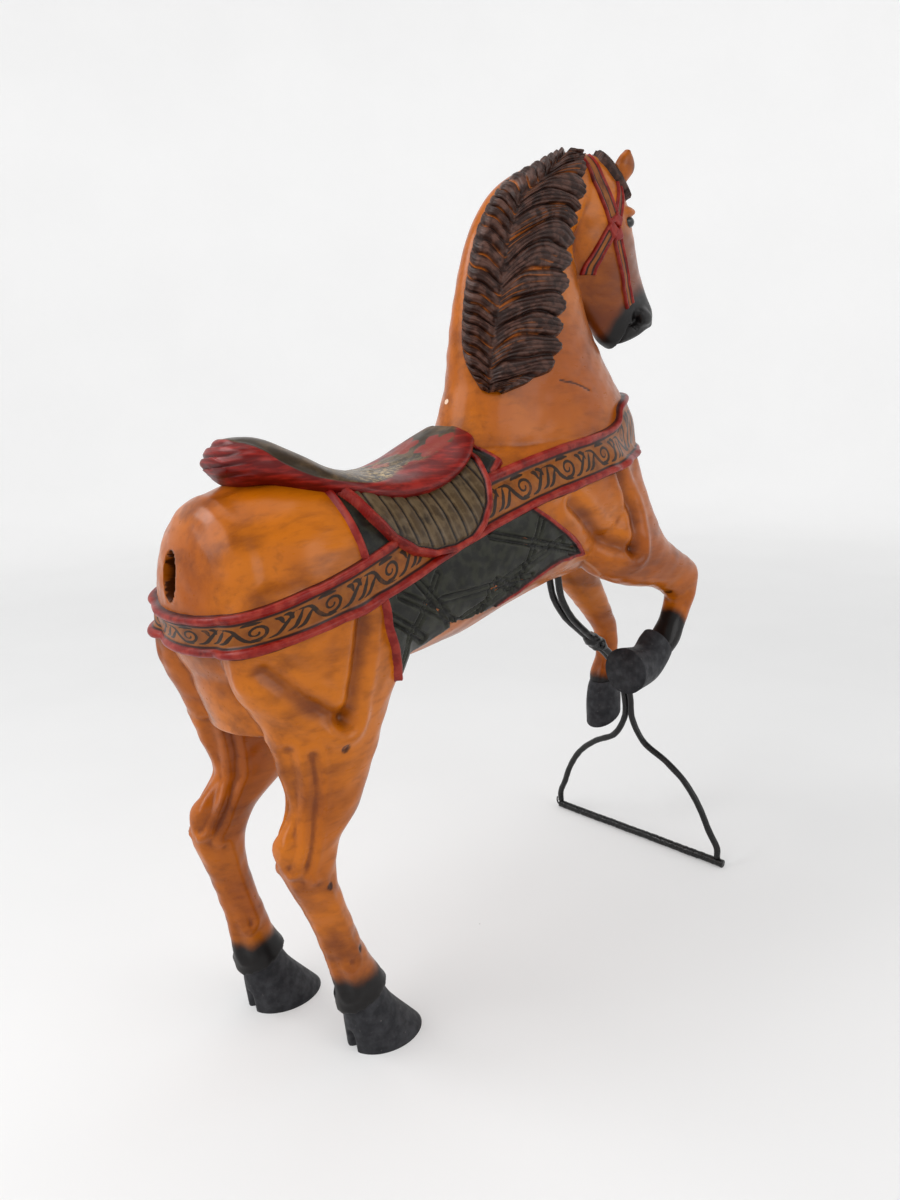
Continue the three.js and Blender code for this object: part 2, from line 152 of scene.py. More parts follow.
def soft_step(value: Array, low: float, high: float) -> Array:
    """A smooth rise from 0 at low to 1 at high.

    Args:
        value: Where to read it.
        low, high: The ends of the rise.

    Returns:
        Values from 0 to 1.
    """
    share = np.clip((np.asarray(value, dtype=float) - low) / (high - low), 0, 1)
    return share * share * (3 - 2 * share)


def ripple(points: Array, wavelength: float, seed: int) -> Array:
    """Smooth random waves, about -1 to 1, the same on every run.

    Args:
        points: Rows of coordinates in mm.
        wavelength: Typical distance between crests, in mm.
        seed: Picks the pattern.

    Returns:
        One value per row.
    """
    rng = np.random.default_rng(seed)
    total = np.zeros(len(points))
    for _ in range(7):
        way = rng.normal(size=points.shape[1])
        way *= 2 * math.pi / (wavelength * rng.uniform(0.7, 1.6) * np.linalg.norm(way))
        total += np.sin(points @ way + rng.uniform(0, 2 * math.pi))
    return total / 3.0


def line_distance(points: Array, line: Outline) -> Array:
    """Distance from points to a row of straight segments.

    Args:
        points: Rows of two coordinates.
        line: The corners of the row.

    Returns:
        One distance per point.
    """
    corners = np.asarray(line, dtype=float)
    nearest = np.full(len(points), np.inf)
    for a, b in zip(corners[:-1], corners[1:]):
        way = b - a
        share = np.clip(((points - a) @ way) / max(way @ way, 1e-9), 0, 1)
        nearest = np.minimum(nearest, np.linalg.norm(points - a - share[:, None] * way, axis=1))
    return nearest


def inside_distance(points: Array, outline: Outline) -> Array:
    """Distance to a closed outline, positive inside it and negative outside.

    Args:
        points: Rows of two coordinates.
        outline: The corners of the outline, not repeated at the end.

    Returns:
        One signed distance per point.
    """
    corners = np.asarray(outline, dtype=float)
    closed = np.vstack([corners, corners[:1]])
    odd = np.zeros(len(points), dtype=bool)
    for (ax, az), (bx, bz) in zip(closed[:-1], closed[1:]):
        if az == bz:
            continue
        crosses = (az > points[:, 1]) != (bz > points[:, 1])
        odd ^= crosses & (points[:, 0] < (bx - ax) * (points[:, 1] - az) / (bz - az) + ax)
    return np.where(odd, 1.0, -1.0) * line_distance(points, closed)


def strip(line: Outline, width: float) -> list[tuple[float, float]]:
    """The outline of a strip of even width along a line.

    Args:
        line: The middle of the strip.
        width: Its width in mm.

    Returns:
        The corners of the strip.
    """
    points = np.asarray(line, dtype=float)
    ahead = np.gradient(points, axis=0)
    across = np.stack([-ahead[:, 1], ahead[:, 0]], axis=1)
    across *= width / 2 / np.linalg.norm(across, axis=1, keepdims=True)
    return [tuple(p) for p in np.vstack([points + across, (points - across)[::-1]])]


def grid_faces(rows: int, columns: int, wrap: bool = False) -> Array:
    """Quads over a grid of points stored row by row.

    Args:
        rows, columns: The grid's size.
        wrap: Whether the last column meets the first.

    Returns:
        Four indices a row.
    """
    across = columns if wrap else columns - 1
    row, column = np.meshgrid(np.arange(rows - 1), np.arange(across), indexing="ij")
    ahead = (column + 1) % columns
    here = row * columns
    after = here + columns
    corners = (here + column, here + ahead, after + ahead, after + column)
    return np.stack([c.ravel() for c in corners], axis=1)


def joined(shells: Sequence[Shell]) -> Shell:
    """Several surfaces as one, without welding them.

    Args:
        shells: The surfaces.

    Returns:
        One surface with all their faces.
    """
    start = 0
    faces = []
    for shell in shells:
        faces.append(np.where(shell.faces == NO_CORNER, NO_CORNER, shell.faces + start))
        start += len(shell.vertices)
    return Shell(np.vstack([s.vertices for s in shells]), np.vstack(faces))


def neighbour_mean(vertices: Array, faces: Array) -> Array:
    """The mean of each vertex's neighbours on a mesh of quads.

    Args:
        vertices: Points, one row each.
        faces: Quads.

    Returns:
        One mean per vertex.
    """
    here = faces.ravel()
    there = np.roll(faces, -1, axis=1).ravel()
    ends = np.concatenate([here, there])
    others = np.concatenate([there, here])
    count = np.bincount(ends, minlength=len(vertices))[:, None]
    total = [np.bincount(ends, weights=vertices[others, k], minlength=len(vertices)) for k in range(3)]
    return np.stack(total, axis=1) / np.maximum(count, 1)


def relaxed(shell: Shell, passes: int) -> Shell:
    """A mesh smoothed without shrinking.

    Args:
        shell: A surface of quads.
        passes: How often to smooth.

    Returns:
        The smoothed surface.
    """
    points = shell.vertices
    for _ in range(passes):
        for amount in (0.55, -0.57):
            points = points + amount * (neighbour_mean(points, shell.faces) - points)
    return Shell(points, shell.faces)


def normals_of(shell: Shell) -> Array:
    """Outward unit normals at the vertices of a mesh of quads.

    Args:
        shell: The surface.

    Returns:
        One normal per vertex.
    """
    a, b, c, d = (shell.vertices[shell.faces[:, k]] for k in range(4))
    across = np.cross(c - a, d - b)
    corners = shell.faces.ravel()
    spread = np.repeat(across, 4, axis=0)
    count = len(shell.vertices)
    sums = [np.bincount(corners, weights=spread[:, k], minlength=count) for k in range(3)]
    total = np.stack(sums, axis=1)
    return total / np.maximum(np.linalg.norm(total, axis=1, keepdims=True), 1e-12)


@dataclass(frozen=True)
class Loft:
    """A smooth closed form through its ribs.

    Args:
        ribs: The sections in order.
        start_dome, end_dome: Height of the dome that closes either end, in mm; 0 leaves it flat.
        sides: Points round a section.
        steps: Rings between two ribs.
    """

    ribs: tuple[Rib, ...]
    start_dome: float = 0.0
    end_dome: float = 0.0
    sides: int = 48
    steps: int = 8

    def rings(self) -> Array:
        """The rings of the form.

        Returns:
            An array of ring, side and coordinate.
        """
        count = (len(self.ribs) - 1) * self.steps + 1
        tops = through([(r.ax, r.half, r.az) for r in self.ribs], count)
        ends = through([(r.bx, r.y, r.bz) for r in self.ribs], count)
        turn = np.linspace(0, 2 * math.pi, self.sides, endpoint=False)
        along = (1 - np.cos(turn)) / 2
        x = tops[:, :1] + (ends[:, :1] - tops[:, :1]) * along
        y = ends[:, 1:2] + tops[:, 1:2] * np.sin(turn)
        z = tops[:, 2:] + (ends[:, 2:] - tops[:, 2:]) * along
        made = np.stack([x, y, z], axis=2)
        start = self._dome(made[0], made[1], self.start_dome)[::-1]
        end = self._dome(made[-1], made[-2], self.end_dome)
        return np.concatenate([start, made, end])

    def _dome(self, last: Array, before: Array, height: float) -> Array:
        """Rings that close an end.

        Args:
            last, before: The end ring and the one next to it.
            height: The dome's height in mm.

        Returns:
            Rings from the end ring outwards.
        """
        middle = last.mean(axis=0)
        outward = middle - before.mean(axis=0)
        outward /= np.linalg.norm(outward)
        lifts = np.linspace(0, math.pi / 2, 9)[1:] if height > 0 else np.array([math.pi / 2])
        rings = []
        for lift in lifts:
            shrunk = (last - middle) * max(math.cos(lift), 1e-3)
            rings.append(middle + shrunk + outward * height * math.sin(lift))
        return np.stack(rings)

    def shell(self) -> Shell:
        """The closed surface.

        Returns:
            The surface, with its ends closed by a fan.
        """
        rings = self.rings()
        count, sides = rings.shape[:2]
        faces = grid_faces(count, sides, wrap=True)
        points = np.vstack([rings.reshape(-1, 3), rings[0].mean(axis=0), rings[-1].mean(axis=0)])
        side = np.arange(sides)
        ahead = (side + 1) % sides
        empty = np.full(sides, NO_CORNER)
        start = np.stack([ahead, side, np.full(sides, count * sides), empty], axis=1)
        last = (count - 1) * sides
        end = np.stack([last + side, last + ahead, np.full(sides, count * sides + 1), empty], axis=1)
        return Shell(points, np.vstack([faces, start, end]))


def ellipsoid(centre: Sequence[float], radii: Sequence[float], steps: int = 24) -> Shell:
    """A closed ellipsoid.

    Args:
        centre: Its middle in layout mm.
        radii: Its three radii in mm.
        steps: Rings from pole to pole.

    Returns:
        The surface.
    """
    rise = np.linspace(0, math.pi, steps + 1)[1:-1]
    turn = np.linspace(0, 2 * math.pi, 2 * steps, endpoint=False)
    up, around = np.meshgrid(rise, turn, indexing="ij")
    ball = [np.sin(up) * np.cos(around), np.sin(up) * np.sin(around), np.cos(up)]
    unit = np.stack(ball, axis=2).reshape(-1, 3)
    points = np.vstack([unit, [0, 0, 1], [0, 0, -1]]) * np.asarray(radii) + np.asarray(centre)
    faces = grid_faces(steps - 1, 2 * steps, wrap=True)
    side = np.arange(2 * steps)
    ahead = (side + 1) % (2 * steps)
    last = (steps - 2) * 2 * steps
    empty = np.full(2 * steps, NO_CORNER)
    top = np.stack([ahead, side, np.full(2 * steps, len(unit)), empty], axis=1)
    low = np.stack([last + side, last + ahead, np.full(2 * steps, len(unit) + 1), empty], axis=1)
    return Shell(points, np.vstack([faces, top, low]))


# Meshes and materials


def make_mesh(name: str, shell: Shell, values: Values, in_layout: bool = True) -> bpy.types.Object:
    """A smooth mesh object in the frame.

    Args:
        name: The object's name.
        shell: The surface.
        values: Numbers per vertex that the materials read, by attribute name.
        in_layout: Whether the surface is in layout mm rather than in metres of the frame.

    Returns:
        The object, linked to the scene.
    """
    points = (shell.vertices + [LAYOUT_SHIFT_MM, 0, 0]) * MM if in_layout else shell.vertices
    corners = shell.faces != NO_CORNER
    sizes = corners.sum(axis=1)
    mesh = bpy.data.meshes.new(name)
    mesh.vertices.add(len(points))
    mesh.vertices.foreach_set("co", points.astype(np.float32).ravel())
    mesh.loops.add(int(sizes.sum()))
    mesh.loops.foreach_set("vertex_index", shell.faces[corners].astype(np.int32))
    mesh.polygons.add(len(sizes))
    mesh.polygons.foreach_set("loop_start", np.concatenate([[0], np.cumsum(sizes)[:-1]]).astype(np.int32))
    mesh.polygons.foreach_set("use_smooth", np.ones(len(sizes), dtype=bool))
    mesh.update(calc_edges=True)
    mesh.validate()
    for key, numbers in values.items():
        layer = mesh.attributes.new(key, "FLOAT", "POINT")
        layer.data.foreach_set("value", np.asarray(numbers, dtype=np.float32))
    made = bpy.data.objects.new(name, mesh)
    bpy.context.scene.collection.objects.link(made)
    return made


def colour(red: int, green: int, blue: int) -> tuple[float, float, float, float]:
    """A colour as seen on a screen, as the linear value that a shader takes.

    Args:
        red, green, blue: From 0 to 255.

    Returns:
        Red, green, blue and 1.
    """
    return (*[(v / 255) ** 2.2 for v in (red, green, blue)], 1.0)


class Graph:
    """A material's node tree, built with short calls."""

    def __init__(self, name: str) -> None:
        """Starts a material with its shader and output.

        Args:
            name: The material's name.
        """
        self.material = bpy.data.materials.new(name)
        self.material.use_nodes = True
        self.nodes = self.material.node_tree.nodes
        self.links = self.material.node_tree.links
        self.shader = self.nodes["Principled BSDF"]
        self.place = self.nodes.new("ShaderNodeTexCoord").outputs["Object"]

    def put(self, socket: Socket, value: object) -> None:
        """Sets a socket, by a link or a plain value.

        Args:
            socket: The input socket.
            value: An output socket, a number or a colour.
        """
        if isinstance(value, Socket):
            self.links.new(value, socket)
        else:
            socket.default_value = value

    def attribute(self, name: str) -> Socket:
        """A number stored at the vertices.

        Args:
            name: The attribute's name.

        Returns:
            Its socket.
        """
        node = self.nodes.new("ShaderNodeAttribute")
        node.attribute_name = name
        return node.outputs["Fac"]

    def noise(
        self,
        scale: float,
        detail: float = 4.0,
        stretch: Sequence[float] = (1, 1, 1),
        rough: float = 0.55,
    ) -> Socket:
        """Noise over the object's own place.

        Args:
            scale: Waves to a metre.
            detail: Octaves.
            stretch: A factor for each axis.
            rough: Weight of the finer octaves.

        Returns:
            A value about 0.5.
        """
        mapping = self.nodes.new("ShaderNodeMapping")
        mapping.inputs["Scale"].default_value = stretch
        self.links.new(self.place, mapping.inputs["Vector"])
        node = self.nodes.new("ShaderNodeTexNoise")
        node.inputs["Scale"].default_value = scale
        node.inputs["Detail"].default_value = detail
        node.inputs["Roughness"].default_value = rough
        self.links.new(mapping.outputs["Vector"], node.inputs["Vector"])
        return node.outputs["Fac"]

    def math(self, way: str, first: object, second: object = 0.0, clamp: bool = False) -> Socket:
        """A sum, product or other step on numbers.

        Args:
            way: The node's operation.
            first, second: Its inputs.
            clamp: Whether to keep the result from 0 to 1.

        Returns:
            The result.
        """
        node = self.nodes.new("ShaderNodeMath")
        node.operation = way
        node.use_clamp = clamp
        self.put(node.inputs[0], first)
        self.put(node.inputs[1], second)
        return node.outputs[0]

    def span(
        self, value: object, low: float, high: float, out_low: float = 0.0, out_high: float = 1.0
    ) -> Socket:
        """A value carried smoothly from one range to another.

        Args:
            value: The input.
            low, high: The range it is read over.
            out_low, out_high: The range it gives.

        Returns:
            The result.
        """
        node = self.nodes.new("ShaderNodeMapRange")
        node.interpolation_type = "SMOOTHSTEP"
        given_to = {"Value": value, "From Min": low, "From Max": high, "To Min": out_low, "To Max": out_high}
        for key, given in given_to.items():
            self.put(node.inputs[key], given)
        return node.outputs["Result"]

    def mix(self, share: object, first: object, second: object) -> Socket:
        """A mix of two colours.

        Args:
            share: How much of the second, from 0 to 1.
            first, second: The colours.

        Returns:
            The mixed colour.
        """
        node = self.nodes.new("ShaderNodeMix")
        node.data_type = "RGBA"
        self.put(node.inputs[0], share)
        self.put(node.inputs[6], first)
        self.put(node.inputs[7], second)
        return node.outputs[2]

    def bump(self, height: object, depth_mm: float, strength: float = 1.0) -> None:
        """Adds fine relief to the shader.

        Args:
            height: A value from 0 to 1.
            depth_mm: What 1 stands for, in mm.
            strength: How much of it shows.
        """
        node = self.nodes.new("ShaderNodeBump")
        node.inputs["Strength"].default_value = strength
        node.inputs["Distance"].default_value = depth_mm * MM
        self.put(node.inputs["Height"], height)
        if self.shader.inputs["Normal"].is_linked:
            self.links.new(self.shader.inputs["Normal"].links[0].from_socket, node.inputs["Normal"])
        self.links.new(node.outputs["Normal"], self.shader.inputs["Normal"])

    def finish(self, base: object, rough: object, coat: float = 0.0, gloss: float = 0.2) -> Material:
        """Sets the shader's main inputs.

        Args:
            base: The colour.
            rough: The roughness.
            coat: How much clear varnish lies on top.
            gloss: How strongly the surface itself mirrors, 0.5 for plain plastic.

        Returns:
            The material.
        """
        self.put(self.shader.inputs["Base Color"], base)
        self.put(self.shader.inputs["Roughness"], rough)
        self.shader.inputs["Specular IOR Level"].default_value = gloss
        self.shader.inputs["Coat Weight"].default_value = coat
        self.shader.inputs["Coat Roughness"].default_value = 0.27
        return self.material


@dataclass(frozen=True)
class WoodFinish:
    """Honey-brown varnished wood, sooted black at hooves and muzzle, with grime and painted shade in its
    grooves and hollows.
    """

    light: tuple = colour(188, 103, 14)
    middle: tuple = colour(154, 77, 8)
    dark: tuple = colour(92, 41, 6)
    grime_and_shade: tuple = colour(40, 17, 6)
    painted_shade: tuple = colour(102, 47, 10)
    soot: tuple = colour(20, 17, 17)
    pale: tuple = colour(226, 196, 170)

    def material(self, name: str) -> Material:
        """Builds the finish.

        Args:
            name: The material's name.

        Returns:
            The material. It reads the attributes for soot, painted shade, grime with painted shade, and pale
            marks.
        """
        g = Graph(name)
        broad = g.noise(5.0, 3.0)
        grain = g.noise(9.0, 6.0, (0.5, 2.2, 2.2), 0.62)
        fine = g.noise(60.0, 5.0, (0.35, 1.6, 1.6), 0.6)
        base = g.mix(g.span(broad, 0.34, 0.68), self.middle, self.light)
        base = g.mix(g.span(grain, 0.46, 0.72, 0.0, 0.62), base, self.dark)
        base = g.mix(g.span(fine, 0.5, 0.8, 0.0, 0.4), base, self.dark)
        spots = g.noise(34.0, 3.0)
        base = g.mix(g.span(spots, 0.7, 0.8, 0.0, 0.25), base, self.grime_and_shade)
        patches = g.noise(13.0, 4.0, (1.0, 1.3, 1.3), 0.6)
        base = g.mix(g.span(patches, 0.5, 0.72, 0.0, 0.45), base, self.dark)
        # Painted shade: a darker reddish brown mixed in where the skin's painted-shade share is high.
        shade_share = g.math("MULTIPLY", g.attribute("painted_shade"), g.span(grain, 0.3, 0.6, 0.65, 1.0), clamp=True)
        base = g.mix(shade_share, base, self.painted_shade)
        # Grime and painted shade from the skin's attribute, with some random grain.
        worn = g.math("ADD", g.attribute("grime_and_shade"), g.math("MULTIPLY", g.math("SUBTRACT", grain, 0.5), 0.5))
        base = g.mix(g.span(worn, 0.15, 1.0, 0.0, 0.9), base, self.grime_and_shade)
        ragged = g.math("MULTIPLY", g.math("SUBTRACT", g.noise(26.0, 5.0), 0.5), 0.5)
        edge = g.math("ADD", g.attribute("soot"), ragged)
        sooted = g.span(edge, 0.25, 0.85)
        base = g.mix(sooted, base, self.soot)
        # Pale marks: a painted highlight near the withers and a glue line on the right shoulder.
        base = g.mix(g.span(g.attribute("pale_marks"), 0.4, 0.6), base, self.pale)
        g.bump(fine, 0.5, 0.25)
        g.bump(grain, 2.0, 0.15)
        rough = g.math("ADD", g.span(fine, 0.3, 0.8, 0.27, 0.42), g.math("MULTIPLY", sooted, 0.28))
        return g.finish(base, rough, coat=0.4, gloss=0.1)


@dataclass(frozen=True)
class PaintFinish:
    """Old paint of one colour, worn lighter on its high places, dirty in random patches and darkened in its
    low places as painted shade.

    Args:
        base, rubbed_and_lit, dirt_and_shade: Its colours; the second is worn paint and a painted highlight,
            the third dirt and painted shade.
        coat: How much varnish lies on it.
        rough: Its roughness.
    """

    base: tuple
    rubbed_and_lit: tuple
    dirt_and_shade: tuple
    coat: float = 0.12
    rough: float = 0.38

    def layer(self, g: Graph, low: object, high: object) -> Socket:
        """The paint's colour in a node tree.

        Args:
            g: The tree.
            low: How deep a place lies, from 0 to 1; the paint is darkened by that much as painted shade.
            high: How exposed a place is, from 0 to 1.

        Returns:
            The colour.
        """
        worn = g.noise(28.0, 6.0)
        base = g.mix(g.span(worn, 0.5, 0.72, 0.0, 0.7), self.base, self.dirt_and_shade)
        exposed = g.math("MULTIPLY", high, g.span(g.noise(70.0, 5.0), 0.42, 0.62), clamp=True)
        base = g.mix(exposed, base, self.rubbed_and_lit)
        # Painted shade: the low places take the darker colour.
        return g.mix(low, base, self.dirt_and_shade)


CRIMSON = PaintFinish(colour(122, 22, 14), colour(158, 58, 44), colour(52, 10, 8))
HONEY = PaintFinish(colour(128, 70, 18), colour(160, 98, 36), colour(70, 34, 10))
OLIVE = PaintFinish(colour(70, 54, 34), colour(104, 86, 62), colour(26, 19, 12))
GREEN_BLACK = PaintFinish(colour(22, 22, 16), colour(52, 53, 41), colour(7, 6, 4), coat=0.15, rough=0.42)
HAIR = PaintFinish(colour(48, 28, 21), colour(100, 70, 60), colour(26, 12, 8), rough=0.4)
INK = colour(30, 22, 14)
GOLD = colour(168, 92, 30)


# The skin that everything is draped on


class Skin:
    """The carving's surface, for rays to find."""

    def __init__(self, shell: Shell) -> None:
        """Prepares the surface.

        Args:
            shell: The surface in layout mm.
        """
        self.tree = BVHTree.FromPolygons(shell.vertices.tolist(), shell.faces.tolist())

    def cast(self, starts: Array, ways: Array) -> tuple[Array, Array]:
        """Where rays meet the surface.

        Args:
            starts: The rays' starts, one row each.
            ways: Their directions.

        Returns:
            The points met, and whether each ray met one.
        """
        found = np.array(starts, dtype=float)
        met = np.zeros(len(starts), dtype=bool)
        ray = self.tree.ray_cast
        for i, (start, way) in enumerate(zip(starts.tolist(), ways.tolist())):
            place = ray(start, way)[0]
            if place is not None:
                found[i] = place
                met[i] = True
        return found, met


@dataclass
class Drape:
    """A grid of points on the skin with a normal at each.

    Args:
        points, normals: Arrays of row, column and coordinate.
        valid: Which grid points lie on the skin.
        wrap: Whether the last column meets the first.
    """

    points: Array
    normals: Array
    valid: Array
    wrap: bool = False

    @classmethod
    def over(
        cls, skin: Skin, starts: Array, ways: Array, keep: Array, passes: int, wrap: bool = False
    ) -> Drape:
        """Drapes a grid over the skin and evens it out.

        Args:
            skin: The surface.
            starts, ways: A ray for each grid point.
            keep: Which grid points are wanted.
            passes: How often to smooth the draped grid.
            wrap: Whether the last column meets the first.

        Returns:
            The draped grid.
        """
        points = starts.copy()
        valid = keep.copy()
        found, met = skin.cast(starts[keep], ways[keep])
        points[keep] = found
        valid[keep] = met
        weight = valid.astype(float)[..., None]
        for _ in range(passes):
            total = np.zeros_like(points)
            count = np.zeros_like(weight)
            for axis, step in ((0, 1), (0, -1), (1, 1), (1, -1)):
                moved = np.roll(points * weight, step, axis=axis)
                share = np.roll(weight, step, axis=axis)
                if axis == 0 or not wrap:
                    edge = [slice(None)] * 2
                    edge[axis] = 0 if step == 1 else -1
                    moved[tuple(edge)] = 0
                    share[tuple(edge)] = 0
                total += moved
                count += share
            mean = total / np.maximum(count, 1)
            points = np.where((count > 3.5) & (weight > 0), points + 0.6 * (mean - points), points)
        if wrap:
            right = np.roll(points, -1, axis=1) - np.roll(points, 1, axis=1)
        else:
            right = np.gradient(points, axis=1)
        up = np.gradient(points, axis=0)
        normals = np.cross(right, up)
        normals /= np.maximum(np.linalg.norm(normals, axis=2, keepdims=True), 1e-9)
        facing = np.sum(normals * ways, axis=2, keepdims=True)
        normals = np.where(facing > 0, -normals, normals)
        return cls(points, normals, valid, wrap)

    def lifted(self, height: Array, show: Array) -> tuple[Shell, Array]:
        """The grid raised off the skin.

        Args:
            height: How far each point is raised, in mm.
            show: Which points to keep.

        Returns:
            The surface, and which grid points its vertices are.
        """
        rows, columns = self.valid.shape
        kept = (self.valid & show).ravel()
        faces = grid_faces(rows, columns, self.wrap)
        faces = faces[kept[faces].all(axis=1)]
        used = np.unique(faces)
        renumber = np.full(rows * columns, NO_CORNER)
        renumber[used] = np.arange(len(used))
        raised = (self.points + self.normals * height[..., None]).reshape(-1, 3)
        quads = renumber[faces]
        shell = Shell(raised[used], quads)
        outward = self.normals.reshape(-1, 3)[used]
        if np.sum(normals_of(shell) * outward) < 0:
            shell = Shell(shell.vertices, quads[:, ::-1])
        return shell, used


@dataclass(frozen=True)
class SidePatch:
    """A relief laid on one side of the horse within an outline in side view.

    Args:
        outline: Its corners in side view, in mm.
        side: The side it lies on.
        step: Distance between grid points in mm.
        margin: How far the grid runs past the outline, to dip under the skin.
    """

    outline: Outline
    side: Side
    step: float = 2.0
    margin: float = 4.0

    def build(self, name: str, skin: Skin, relief: Relief) -> bpy.types.Object:
        """Drapes and raises the relief.

        Args:
            name: The object's name.
            skin: The surface it lies on.
            relief: Gives heights and vertex values from side-view places and distances inside the outline.

        Returns:
            The object.
        """
        corners = np.asarray(self.outline, dtype=float)
        low = corners.min(axis=0) - self.margin
        high = corners.max(axis=0) + self.margin
        xs = np.arange(low[0], high[0] + self.step, self.step)
        zs = np.arange(low[1], high[1] + self.step, self.step)
        z, x = np.meshgrid(zs, xs, indexing="ij")
        flat = np.stack([x.ravel(), z.ravel()], axis=1)
        inside = inside_distance(flat, self.outline)
        keep = (inside > -self.margin).reshape(x.shape)
        near = (inside > -self.margin - 2 * self.step).reshape(x.shape)
        away = 400.0 * self.side.value
        starts = np.stack([x, np.full_like(x, away), z], axis=2)
        ways = np.zeros_like(starts)
        ways[..., 1] = -self.side.value
        drape = Drape.over(skin, starts, ways, near, passes=8)
        height, values = relief(flat, inside)
        shell, used = drape.lifted(height.reshape(x.shape), keep)
        return make_mesh(name, shell, {key: v[used] for key, v in values.items()})


def bead(distance: Array, width: float, height: float) -> Array:
    """The profile of a rounded rim.

    Args:
        distance: Distance in from the rim's outer edge, in mm.
        width: The rim's width in mm.
        height: Its height in mm.

    Returns:
        The height at each distance, 0 outside the rim.
    """
    share = np.clip(distance / width, 0, 1)
    return height * np.sqrt(np.clip(1 - (2 * share - 1) ** 2, 0, 1))


def settle(height: Array, inside: Array, over: float = 2.0, under: float = 3.0) -> Array:
    """Lets a relief dip under the skin outside its outline.

    Args:
        height: The relief's heights in mm.
        inside: Distance inside the outline in mm.
        over: Over how many mm inside the edge it rises.
        under: How deep it lies outside.

    Returns:
        The heights.
    """
    return height * soft_step(inside, 0, over) - under * soft_step(-inside, -0.5, 2.5)


class PieceList:
    """Every piece of the object, attached to the frame's root as it is made."""

    def __init__(self) -> None:
        """Starts an empty list."""
        self.count = 0

    def add(self, made: bpy.types.Object, node: str, slot: str, *materials: Material) -> bpy.types.Object:
        """Dresses a piece, attaches it to the root and hides the CAD node it replaces.

        Args:
            made: The piece.
            node: The CAD node it replaces.
            slot: The record's material slot; not used.
            materials: Its materials.

        Returns:
            The piece.
        """
        for material in materials:
            made.data.materials.append(material)
        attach(made, "root")
        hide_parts(node)
        self.count += 1
        log.info("piece %d: %s, %d faces", self.count, made.name, len(made.data.polygons))
        return made


# The carving


